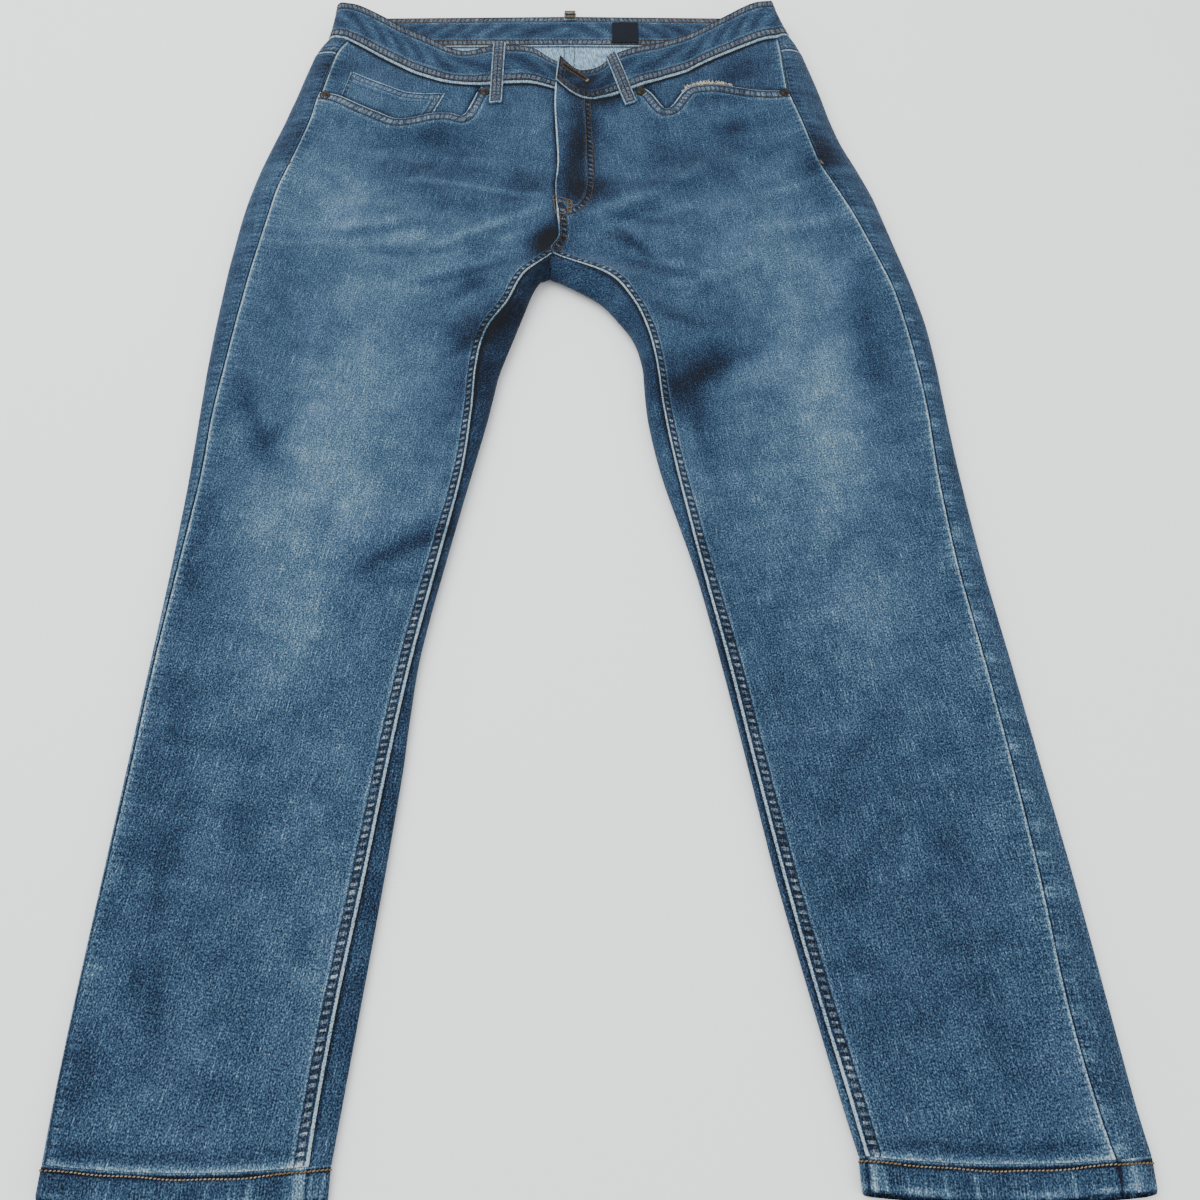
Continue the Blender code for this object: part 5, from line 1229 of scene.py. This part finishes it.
# The coin pocket, a slanted patch on the right facing, slightly swelled, with its stitched borders.
def coinPocket():
    a, b = np.linspace(0, 1, 60)[None, :], np.linspace(0, 1, 44)[:, None]
    top = coin["topLeft"] + a * (coin["topRight"] - coin["topLeft"])
    r = coin["left"] + a * (coin["rightLow"] + b * (coin["rightHigh"] - coin["rightLow"]) - coin["left"])
    grid = facingSurface("R", r, coin["foot"] + b * (top - coin["foot"]))
    grid[..., 2] += gap + coin["thick"] + coin["swell"] * np.sin(math.pi * a) * np.sin(math.pi * b)
    normals = surfaceNormals(grid, 1.0, passes=2)
    plan = grid[..., :2]
    edges = ((plan[-1], coin["top"]), (plan[:, -1], coin["right"]), (plan[:, 0], coin["leftSeam"]))
    band = seamChannel(plan, [(line, seam[0], 0, *seam[1:]) for line, seam in edges])
    mouthAway = nearLine(plan, frontSurface("R", float(pocket), np.linspace(0, 0.6, 60))[:, :2])[0]
    # painted shadow of the pocket mouth's edge across the coin pocket
    light = coin["tone"] - streak(mouthAway, coin["shadowAtMouth"])
    grid = grid - normals * streak(band[..., 0], coin["dip"])[..., None]
    looks = {"uv": plan, "band": band, "tone": (light, 0 * light)}
    clothPiece("coinPocket", grid, normals, coin["thick"], looks, materials["face"], "denim", ["coin_pocket"])
    for k in (-2, -9):
        threadPaths["navy"].append((grid[k], normals[k]))
    for k in (1, -2, -6):
        threadPaths["navy"].append((grid[:, k], normals[:, k]))


coinPocket()
print("stage 6: pockets in front")

# Fly underlap, zip
flyParts = {"underlap": [("R", .9), ("R", .96), ("R", 1.0), ("L", .9), ("L", .83)],
            "underlapDrop": {"R": 0.0034, "L": 0.0043}, "zip": [("L", .975), ("L", .93), ("L", .885)],
            "zipDrop": {"L": 0.0022}, "zipThick": 0.0008, "levels": (15.3, 19.85), "tone": -0.08}


# A strip behind the fly: lines up the front panels at given shares of their width, dropped below them.
def behindFly(name, shares, drops, thick, material, slot, node):
    levels = np.linspace(*flyParts["levels"], 70)
    lines = []
    for side, r in shares:
        points = frontSurface(side, levels, np.full(len(levels), r))
        points[:, 2] -= drops[side]
        lines.append(points)
    grid = curve(np.array(lines), np.linspace(0, len(lines) - 1, 26)).transpose(1, 0, 2)
    normals = np.zeros_like(grid) + (0.0, 0.0, 1.0)
    none = 0 * grid[..., 0]
    looks = {"uv": grid[..., :2], "tone": (none + flyParts["tone"], none)}
    clothPiece(name, grid, normals, thick, looks, material, slot, [node])
    return grid


behindFly("flyUnderlap", flyParts["underlap"], flyParts["underlapDrop"], denimThick, materials["shadedCopy"],
          "denim_shade", "fly_underlap")
zipGrid = behindFly("zipTape", flyParts["zip"], flyParts["zipDrop"], flyParts["zipThick"], materials["tape"],
                    "zip_tape", "zip")
zipMiddle = zipGrid[:, zipGrid.shape[1] // 2] + (0.0, 0.0, -0.0009)
sewn("zipTeeth", [(zipMiddle, np.array([0.0, 0.0, 1.0]))], materials["brass"], pitch=0.0016, length=0.0011,
     width=0.003, lift=-0.0004)
print("stage 7: fly")

# Hems
hemCloth = {"rows": 27, "columns": 40, "step": 0.001, "stitchDown": 0.0022, "relief": 0.00022,
            "slant": 0.1, "edges": ((1.0, 0.0012), (0.6, 0.001)), "edgeDip": 0.0007,
            "dice": {"R": 11, "L": 12}, "ridges": 60, "ridgeApart": (0.006, 0.02),
            "ridgeWide": (0.0007, 0.0016), "ridgeTall": (0.15, 1.0), "washAndShade": 0.5, "rest": -0.08,
            "top": (0.3, 0.0011), "stitchShade": (0.5, 0.0012), "ridgeWear": 0.32,
            "foldWear": {"R": 0.16, "L": 0.3}, "foldAt": (0.0162, 0.0022),
            "tipShade": (0.22, 0.0178, 0.001), "inseamWear": (0.26, 0.0055), "inseamShade": (0.45, 0.001),
            "sideWear": {"R": 0.0, "L": 0.26}, "sideShade": {"R": 0.0, "L": 0.36}, "underShade": 0.25,
            "waver": {"R": 0, "L": 2}, "goldFrom": 0.86}


# The turned-up hem, a ring of cloth round the leg's end. Narrow worn ridges lean across it, unevenly spaced;
# its lower edge hangs a little below the leg on the floor side, so that it shows.
def hemRing(side):
    c = hemCloth
    r = edgeColumns(c["columns"])
    over = frontSurface(side, 0.0, r)
    under = backRow(side, 0.0, backCloth["turn"], backCloth["flat"])[::-1][1:-1]
    ring = evenLine(np.vstack([over, under, over[:1]]), c["step"])[:-1]
    ring[:, 1] = legRows[side][0][0] - hemSag(side, ring[:, 0])
    height = ring[:, 2] / ring[:, 2].max()
    t = np.linspace(0, 1, c["rows"])
    grid = np.repeat(ring[None], len(t), 0)
    grid[..., 1] -= t[:, None] * (lay["hemDepth"] + lay["hemPeep"] * (1 - height))
    grid[..., 2] += lay["hemStep"] * height
    normals = surfaceNormals(grid, -sideSign[side], ring=True, passes=2)
    normals[..., 1] = 0
    normals /= np.linalg.norm(normals, axis=-1, keepdims=True)
    run = runOf(np.vstack([ring, ring[:1]]))[:-1]
    around = run[None, :]
    down = t[:, None] * lay["hemDepth"] + 0 * around
    slant = around + c["slant"] * down
    dice = np.random.default_rng(c["dice"][side])
    ridgeAt = np.cumsum(dice.uniform(*c["ridgeApart"], c["ridges"]))
    ridgeWide = dice.uniform(*c["ridgeWide"], c["ridges"])
    ridgeTall = dice.uniform(*c["ridgeTall"], c["ridges"])
    ridges = (ridgeTall * bell(slant[..., None] - ridgeAt, ridgeWide)).sum(-1)
    ridges = ridges * ease((down - 0.0035) / 0.004)
    up = ease(grid[..., 2] / floorFree)
    edge = streak(lay["hemDepth"] - down, c["edges"][0]) + streak(down, c["edges"][1])
    wave = c["relief"] * np.sin(slant * 420 + 3 * np.sin(slant * 90))
    relief = (wave * ease(down / 0.004) + c["relief"] * ridges - c["edgeDip"] * edge) * up
    grid = grid + normals * relief[..., None]
    light, smudgeAndShade = washAndShadeAt(grid[..., 0], grid[..., 1])
    inseamRun = runOf(over)[-1]
    worn = c["foldWear"][side] * (0.6 + 0.4 * np.sin(run * 130 + 2 * np.sin(run * 37))[None, :])
    sideAway = np.minimum(run, run[-1] - run)[None, :]
    light = (c["washAndShade"] * light + c["rest"] + streak(down, c["top"])
             - streak(down - c["stitchDown"] - 0.0003, c["stitchShade"]) + c["ridgeWear"] * ridges
             + worn * bell(down - c["foldAt"][0], c["foldAt"][1])
             - c["tipShade"][0] * ease((down - c["tipShade"][1]) / c["tipShade"][2])
             + streak(around - inseamRun + 0.005, c["inseamWear"])
             + c["sideWear"][side] * bell(around - run[-1] + 0.01, 0.006)
             - streak(around - inseamRun, c["inseamShade"]) - c["underShade"] * (1 - up)
             - c["sideShade"][side] * bell(sideAway, 0.001))
    looks = {"uv": np.stack([around + 0 * down, -down], -1), "tone": (light, smudgeAndShade)}
    clothPiece("hem" + side, grid, normals, hemThick, looks, materials["face"], "denim", ["hem_" + side],
               ring=True)
    k = int(c["stitchDown"] / lay["hemDepth"] * (len(t) - 1)) + 1
    waver = 0.0006 * np.sin(run * 45 + c["waver"][side]) + 0.0003 * np.sin(run * 140)
    line = grid[k] + np.column_stack([0 * waver, waver, 0 * waver])
    turnAt = int(c["goldFrom"] * inseamRun / c["step"])
    return (line[:turnAt], normals[k][:turnAt]), (line[turnAt:], normals[k][turnAt:])


(hemR, hemRInner), (hemL, hemLInner) = hemRing("R"), hemRing("L")
sewn("hemChainStitch", [hemR, hemL], materials["sand"], pitch=0.0026, length=0.002, width=0.001,
     lean=0.3, lift=0.0003)
sewn("hemChainGold", [hemRInner, hemLInner], materials["gold"], pitch=0.0026, length=0.0026, width=0.0011,
     lean=0.3, lift=0.0003)
print("stage 8: hems")

# Back pockets, loops, label
pocketSeams = {"top": (1.9, 1.0, 0.0), "rest": (1.8, 0.8, 0.0), "tone": 0.06, "threadRows": (1, 4)}


# A back pocket: a flat five-cornered patch under the back, with stitched borders and two rows of thread.
def backPocket(side):
    b = backPlace
    x = b["pocketX"][side]
    a, t = np.linspace(0, 1, 60)[None, :], np.linspace(0, 1, 60)[:, None]
    half = b["pocketTopHalf"] + t * (b["pocketLowHalf"] - b["pocketTopHalf"])
    foot = b["pocketLowY"] - (b["pocketLowY"] - b["pocketPointY"]) * (1 - np.abs(2 * a - 1))
    grid = np.stack([x + (2 * a - 1) * half, b["pocketTopY"] + t * (foot - b["pocketTopY"]), 0 * a * t], -1)
    plan = grid[..., :2]
    edges = [(line, seam[0], 0, *seam[1:]) for line, seam in (
        (plan[0], pocketSeams["top"]), (plan[:, 0], pocketSeams["rest"]), (plan[:, -1], pocketSeams["rest"]),
        (plan[-1], pocketSeams["rest"]))]
    normals = np.zeros_like(grid) + (0, 0, -1.0)
    tone = (pocketSeams["tone"] + 0 * a * t, 0 * a * t)
    looks = {"uv": plan, "band": seamChannel(plan, edges), "tone": tone}
    clothPiece("backPocket" + side, grid, normals, b["pocketThick"], looks, materials["shadedCopy"], "denim_shade",
               ["back_pocket_" + side])
    for k in pocketSeams["threadRows"]:
        rim = np.concatenate([grid[k:-k, k], grid[-1 - k, k:-k], grid[k:-k, -1 - k][::-1]])
        threadPaths["brown"].append((rim + (0, 0, 0.0005), np.array([0, 0, -1.0])))


loopCloth = {"half": 0.006, "thick": 0.0014, "air": 0.0008, "dip": (0.0005, 0.9), "seamStretch": (1.5, 1.3),
             "strength": 1.7, "tone": -0.04, "threadColumns": (2, 10)}
sideLoopPath = [(1.015, .0000), (1.04, .0000), (1.0635, .0000)]
centreLoopPath = sideLoopPath[:2] + [(1.064, .0000), (1.069, .0008), (1.0715, .0035), (1.0695, .0064),
                                     (1.064, .007), (1.06, .0066)]
backLoops = {"beltLoopBackR": ("belt_loop_back_R", -0.135, sideLoopPath),
             "beltLoopBack": ("belt_loop_back", -0.03, centreLoopPath),
             "beltLoopBackL": ("belt_loop_back_L", 0.075, sideLoopPath)}
frontLoops = {"beltLoopFrontR": ("belt_loop_front_R", "R", 10.23, 10.23, .026),
              "beltLoopFrontL": ("belt_loop_front_L", "L", 13.2, 12.35, .018)}


# A belt loop from coarse rows of three points: smoothed along and across, 13 columns over its 12 mm.
def loopPiece(name, coarse, sign, node):
    rows = curve(coarse, np.linspace(0, len(coarse) - 1, 60))
    lineRows = [evenLine(rows[:, k], 0.0012) for k in range(3)]
    count = min(len(line) for line in lineRows)
    grid = np.stack([line[np.linspace(0, len(line) - 1, count).round().astype(int)] for line in lineRows], 1)
    grid = curve(grid.transpose(1, 0, 2), np.linspace(0, 2, 13)).transpose(1, 0, 2)
    normals = surfaceNormals(grid, sign, passes=2)
    a = np.linspace(0, 12.0, 13)[None, :]
    run = runOf(grid[:, 6])[:, None] * 1000
    away = np.minimum(np.minimum(a, 12 - a) + 0 * run, run[-1] - run)
    up = ease(grid[..., 2] / 0.004)
    grid = grid - normals * (streak(away, loopCloth["dip"]) * up)[..., None]
    across, along = loopCloth["seamStretch"]
    looks = {"uv": np.stack([a / 1000 + 0 * run, run / 1000 + 0 * a], -1),
             "band": np.stack([away * across, run * along + 0 * a, loopCloth["strength"] + 0 * away], -1),
             "tone": (loopCloth["tone"] + 0 * away, 0 * away)}
    clothPiece(name, grid, normals, loopCloth["thick"], looks, materials["loop"], "denim", [node])
    for k in loopCloth["threadColumns"]:
        threadPaths["tonal"].append((grid[:, k], normals[:, k]))


# A front loop: it wraps over the waistband's top edge, lies down the band and ends on the front panel.
def frontLoop(name, node, side, wTop, wLow, drop):
    share = np.array([sectionShare(side, k) for k in range(len(waistRows[side]))])
    spacing = np.linalg.norm(bandPoint(side, np.array(wLow + 0.5), np.array(0.5))
                             - bandPoint(side, np.array(wLow - 0.5), np.array(0.5)))
    half = sideSign[side] * loopCloth["half"] / spacing
    rows = []
    for v in (1.0, 0.75, 0.5, 0.25, 0.0):
        w = wLow + v * (wTop - wLow)
        rows.append(bandPoint(side, w + half * np.array([-1.0, 0.0, 1.0]), np.full(3, v)))
    up = rows[0] - rows[1]
    up /= np.linalg.norm(up, axis=1, keepdims=True)
    down = rows[-1][1, :2] - rows[0][1, :2]
    down /= np.linalg.norm(down)
    width = np.full(2, np.interp(wLow, np.arange(len(share)), share))
    panel = frontSurface(side, np.array([pocket - 0.5, pocket - 0.9]), width)
    for run, below in ((0.45, panel[0]), (1.0, panel[1])):
        row = rows[4].copy()
        row[:, :2] += run * drop * down
        row[:, 2] += below[2] - rows[4][1, 2] + 0.0004
        rows.append(row)
    for row in rows:
        row[:, 2] += loopCloth["air"] + loopCloth["thick"]
    wrap = [rows[0] + up * 0.0042 - (0, 0, 0.0042), rows[0] + up * 0.003 - (0, 0, 0.0012)]
    coarse = np.array(wrap + rows)
    loopPiece(name, coarse, 1.0 if surfaceNormals(coarse, 1.0)[4, 1, 2] > 0 else -1.0, node)


for side in ("R", "L"):
    backPocket(side)
for name, (node, x, path) in backLoops.items():
    coarse = np.array([[(x + k * loopCloth["half"], y, z) for k in (-1, 0, 1)] for y, z in path])
    loopPiece(name, coarse, 1.0 if surfaceNormals(coarse, 1.0)[1, 1, 2] < 0 else -1.0, node)
for name, values in frontLoops.items():
    frontLoop(name, *values)

sizeLabel = {"x": (0.012, 0.038), "y": (1.028, 1.057), "z": 0.0048, "thick": 0.0007, "swell": 0.0004}
a, t = np.linspace(0, 1, 30)[None, :], np.linspace(0, 1, 34)[:, None]
(left, right), (low, high) = sizeLabel["x"], sizeLabel["y"]
swell = sizeLabel["swell"] * np.sin(math.pi * t) * (0.6 + 0.4 * np.sin(5 * a))
labelGrid = np.stack([left + a * (right - left) + 0 * t, low + t * (high - low) + 0 * a,
                      sizeLabel["z"] + sizeLabel["thick"] + swell], -1)
clothPiece("sizeLabel", labelGrid, np.zeros_like(labelGrid) + (0, 0, 1.0), sizeLabel["thick"],
           {"uv": labelGrid[..., :2], "tone": (0 * a * t, 0 * a * t)}, materials["label"], "size_label",
           ["size_label"])
print("stage 9: back pockets, loops, label")

# Sewing
upright = np.array([0.0, 0.0, 1.0])
flyRows = (0.0016, 0.0068)  # metres beside the fly's stitched line
flyLine = evenLine(flyStitch, 0.002)
way = np.gradient(flyLine, axis=0)
beside = np.column_stack([way[:, 1], -way[:, 0]]) / np.linalg.norm(way, axis=1, keepdims=True)
for offset in flyRows:
    line = flyLine + beside * offset
    threadPaths["brown"].append(onSurface(fronts["L"]["grid"], fronts["L"]["normals"], line, 0.0001))
sewn("inseamThreadNavy", threadPaths["navy"], materials["navy"], width=0.0005)
sewn("seamThreadGreyBrown", threadPaths["tonal"], materials["tonal"], width=0.0008)
sewn("seamThreadBrown", threadPaths["brown"], materials["brown"], width=0.0009)
sewn("bandThreadGold", threadPaths["gold"], materials["gold"], width=0.0006)

# Bar tacks on a front panel: side, start, end, thread.
barTacks = [("L", (.2005, .8525), (.2035, .848), "gold"), ("R", (-.2865, .8485), (-.2835, .853), "brown")]
for side, start, end, thread in barTacks:
    line = evenLine(np.array([start, end]), 0.0008)
    tack = onSurface(fronts[side]["grid"], fronts[side]["normals"], line, 0.0004)
    sewn("barTack" + side, [tack], materials[thread], pitch=0.0008, length=0.0022, width=0.0008, lean=1.3)
# The crossed box at the foot of the fly.
boxLines = [
    ((-.044, .811), (-.0235, .806)), ((-.043, .806), (-.0235, .8015)), ((-.0425, .811), (-.0395, .789)),
    ((-.0405, .79), (-.029, .788)), ((-.026, .806), (-.0255, .79)), ((-.029, .807), (-.0285, .789)),
]
gold = []
for start, end in boxLines:
    line = evenLine(np.array([start, end]), 0.0015)
    gold.append(onSurface(fronts["L"]["grid"], fronts["L"]["normals"], line, 0.0002))
sewn("flyBoxTack", gold, materials["gold"], pitch=0.0016, length=0.0019, width=0.0007, lean=0.5)
# Tacks over the centre back loop's fold: y and z of each.
loopTack = [(np.column_stack([np.linspace(-.0355, -.0245, 12), np.full(12, y), np.full(12, z)]), upright)
            for y, z in ((1.07, .008), (1.0672, .0082), (1.062, .0082))]
sewn("backLoopTack", loopTack, materials["gold"], pitch=0.0009, length=0.0022, width=0.0012, lean=1.2)

# Buttonhole on the laid-open tab: stitches across an oval, a tack at its outer end, and a dark strip along
# its slit that is a painted shadow in the opening.
buttonhole = {"start": (-.0365, .9755), "end": (-.013, .9585), "half": 0.0025, "squarer": 0.35,
              "tackHalf": 0.0022}
start, end = np.array(buttonhole["start"]), np.array(buttonhole["end"])
way = (end - start) / np.linalg.norm(end - start)
across = np.array([-way[1], way[0]])
a = np.linspace(0, 2 * math.pi, 60)
bulge = np.sign(np.sin(a)) * np.abs(np.sin(a)) ** buttonhole["squarer"]
oval = ((start + end) / 2 + np.cos(a)[:, None] * way * np.linalg.norm(end - start) / 2
        + bulge[:, None] * across * buttonhole["half"])
tack = evenLine(end + np.outer([-1.0, 1.0], across * buttonhole["tackHalf"]) + way * 0.0012, 0.0008)
slitShadow = evenLine(np.array([start + way * 0.002, end - way * 0.002]), 0.001)
bandGrid, bandNormals, _, frontColumns = bands["L"]
oval, tack, slitShadow = (onSurface(bandGrid[:, :frontColumns], bandNormals[:, :frontColumns], line, lift)
                    for line, lift in ((oval, 0.0002), (tack, 0.0003), (slitShadow, 0.0)))
sewn("buttonhole", [oval], materials["brown"], pitch=0.0008, length=0.0017, width=0.0008, lean=1.45,
     lift=0.0001)
sewn("buttonholeTack", [tack], materials["sand"], pitch=0.0007, length=0.002, width=0.0007, lean=1.5)
# painted shadow: near-black spindles sunk along the slit
sewn("buttonholeSlitShadow", [slitShadow], materials["slot"], pitch=0.0012, length=0.0026, width=0.004, lift=-0.001)

# The felled centre back seam, seen inside: a row of thread up each yoke.
for side, x in (("R", -.0355), ("L", -.0255)):
    line = evenLine(np.array([(x, 0.99), (x, 1.03)]), 0.002)
    tall = np.column_stack([line, floorLift(line[:, 0], line[:, 1]) + denimThick + 0.0002])
    sewn("seatThread" + side, [(tall, upright)], materials["brown"], width=0.0008)

# Frayed edge of the left pocket mouth: loose weft ends, curled at random, and a worn row of thread. "from"
# and "to" are shares of the mouth; an end is longest in the middle.
fray = {"count": 130, "length": (0.0014, 0.0062), "width": 0.00035, "from": 0.33, "to": 0.64, "turn": 0.75,
        "bend": 0.8, "lift": (0.0004, 0.0012), "points": 5, "dice": 7}
dice = np.random.default_rng(fray["dice"])
mouth = fronts["L"]["grid"][-1]
mouth = mouth[(fronts["L"]["r"] <= sectionShare("L", frontCloth["mouthEnd"]["L"]))]
mouthRun = runOf(mouth)
at = mouthRun[-1] * dice.uniform(fray["from"], fray["to"], fray["count"])
foot = np.stack([np.interp(at, mouthRun, mouth[:, k]) for k in range(3)], 1)
turnBy = dice.normal(0.0, fray["turn"], fray["count"])
middle = np.sin(np.pi * (at / mouthRun[-1] - fray["from"]) / (fray["to"] - fray["from"]))
size = dice.uniform(*fray["length"], fray["count"]) * (0.4 + 0.6 * middle)
t = np.linspace(0, 1, fray["points"])[None, :, None]
bend = dice.normal(0.0, fray["bend"], fray["count"])[:, None, None]
headAt = math.pi / 2 + turnBy[:, None, None] + bend * t
steps = np.concatenate([np.cos(headAt), np.sin(headAt), 0 * headAt], -1)
threads = foot[:, None] + np.cumsum(steps, 1) * size[:, None, None] / fray["points"]
curl = np.sin(t[..., 0] * 2.2) * dice.uniform(0.2, 1.0, (fray["count"], 1))
threads[..., 2] += fray["lift"][0] + fray["lift"][1] * curl
sewn("frayedWeft", [(line, upright) for line in threads], materials["pale"], pitch=0.0011, length=0.0014,
     width=fray["width"], lift=0.0)
worn = (mouthRun > fray["from"] * mouthRun[-1]) & (mouthRun < fray["to"] * mouthRun[-1])
sewn("frayedEdge", [(evenLine(mouth[worn], 0.001) + (0.0, 0.0006, 0.0002), upright)], materials["gold"],
     pitch=0.0014, length=0.0016, width=0.0008)
print("stage 10: sewing")


# Metal turned from a profile (radius, height) about the vertical through each place.
def turned(name, places, profile, sides, material, slot, nodes):
    profile = np.array(profile)
    a = np.arange(sides) * 2 * math.pi / sides
    points, faces = [], []
    for number, middle in enumerate(places):
        radius, height = profile[:, :1], profile[:, 1:]
        ring = np.stack([radius * np.cos(a), radius * np.sin(a), height + 0 * a], -1)
        points.append(ring.reshape(-1, 3) + np.array(middle) - (0, middleY, 0))
        base = number * ring.shape[0] * sides
        k, c = np.meshgrid(np.arange(len(profile) - 1), np.arange(sides), indexing="ij")
        k, c = k.ravel(), c.ravel()
        d = (c + 1) % sides
        around = np.stack([k * sides + c, k * sides + d, (k + 1) * sides + d, (k + 1) * sides + c], 1)
        caps = [np.arange(sides)[::-1], np.arange(sides) + (len(profile) - 1) * sides]
        faces += (around + base).tolist() + [(cap + base).tolist() for cap in caps]
    mesh = bpy.data.meshes.new(name)
    mesh.from_pydata(np.concatenate(points).tolist(), [], faces)
    mesh.polygons.foreach_set("use_smooth", np.ones(len(mesh.polygons), bool))
    mesh.set_sharp_from_angle(angle=math.radians(45))
    return place(name, mesh, material, slot, nodes)


# Foot of a CAD fitting, in hem coordinates: the middle of its box, at its lower face.
def footOf(node):
    low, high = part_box(node)
    return (low.x + high.x) / 2, (low.y + high.y) / 2 + middleY, low.z


# Profiles are shares of the radius and the height.
rivet = {"radius": 0.0051, "height": 0.0014, "sides": 28,
         "profile": [(0.96, 0.0), (1.0, 0.25), (0.98, 0.55), (0.9, 0.75), (0.78, 0.62), (0.62, 0.55),
                     (0.5, 0.62), (0.42, 0.95), (0.28, 1.08), (0.1, 1.1)],
         "nodes": ["rivet_side_R", "rivet_inner_R", "rivet_side_L", "rivet_inner_L"]}
button = {"radius": 0.0082, "height": 0.0022, "sides": 36,
          "profile": [(0.55, 0.0), (0.58, 0.25), (0.96, 0.4), (1.0, 0.55), (0.98, 0.8), (0.9, 0.98),
                      (0.8, 0.9), (0.72, 0.8), (0.45, 0.78), (0.15, 0.8)],
          "nodes": ["waist_button"]}
for name, metal in (("rivets", rivet), ("waistButton", button)):
    turned(name, [footOf(node) for node in metal["nodes"]],
           [(r * metal["radius"], h * metal["height"]) for r, h in metal["profile"]], metal["sides"],
           materials["brass"], "trim_metal", metal["nodes"])
print("stage 11: rivets and button")

# Floor, light, camera
bpy.ops.mesh.primitive_plane_add(size=8.0, location=(0, 0, -0.0006))
floor = bpy.context.object
floor.name = "studioFloor"
floor.data.materials.append(simpleMaterial("paintedBoardPale", studio["floor"], studio["floor"], 0.2, 0.9))
world = bpy.data.worlds.new("studioSky")
world.use_nodes = True
world.node_tree.nodes["Background"].inputs[0].default_value = colour(studio["sky"])
world.node_tree.nodes["Background"].inputs[1].default_value = studio["skyStrength"]
bpy.context.scene.world = world


# A round lamp turned towards the middle of the part.
def areaLight(name, placeAt, size, power):
    light = bpy.data.lights.new(name, "AREA")
    light.shape, light.size, light.energy = "DISK", size, power
    lamp = bpy.data.objects.new(name, light)
    bpy.context.scene.collection.objects.link(lamp)
    lamp.location = placeAt
    x, y, z = placeAt
    lamp.rotation_euler = (math.atan2(math.hypot(x, y), z), 0.0, math.atan2(x, -y) if (x or y) else 0.0)


areaLight("keyLight", studio["keyPlace"], studio["keySize"], studio["keyPower"])
areaLight("fillLight", studio["fillPlace"], studio["fillSize"], studio["fillPower"])
lens = bpy.data.cameras.new("photoView")
lens.lens, lens.sensor_width, lens.sensor_fit = view["lens"], view["sensor"], "HORIZONTAL"
camera = bpy.data.objects.new("photoView", lens)
bpy.context.scene.collection.objects.link(camera)
camera.location = view["place"]
camera.rotation_euler = (math.radians(view["tilt"]), 0.0, 0.0)
bpy.context.scene.camera = camera
print("stage 12: floor, light, camera")
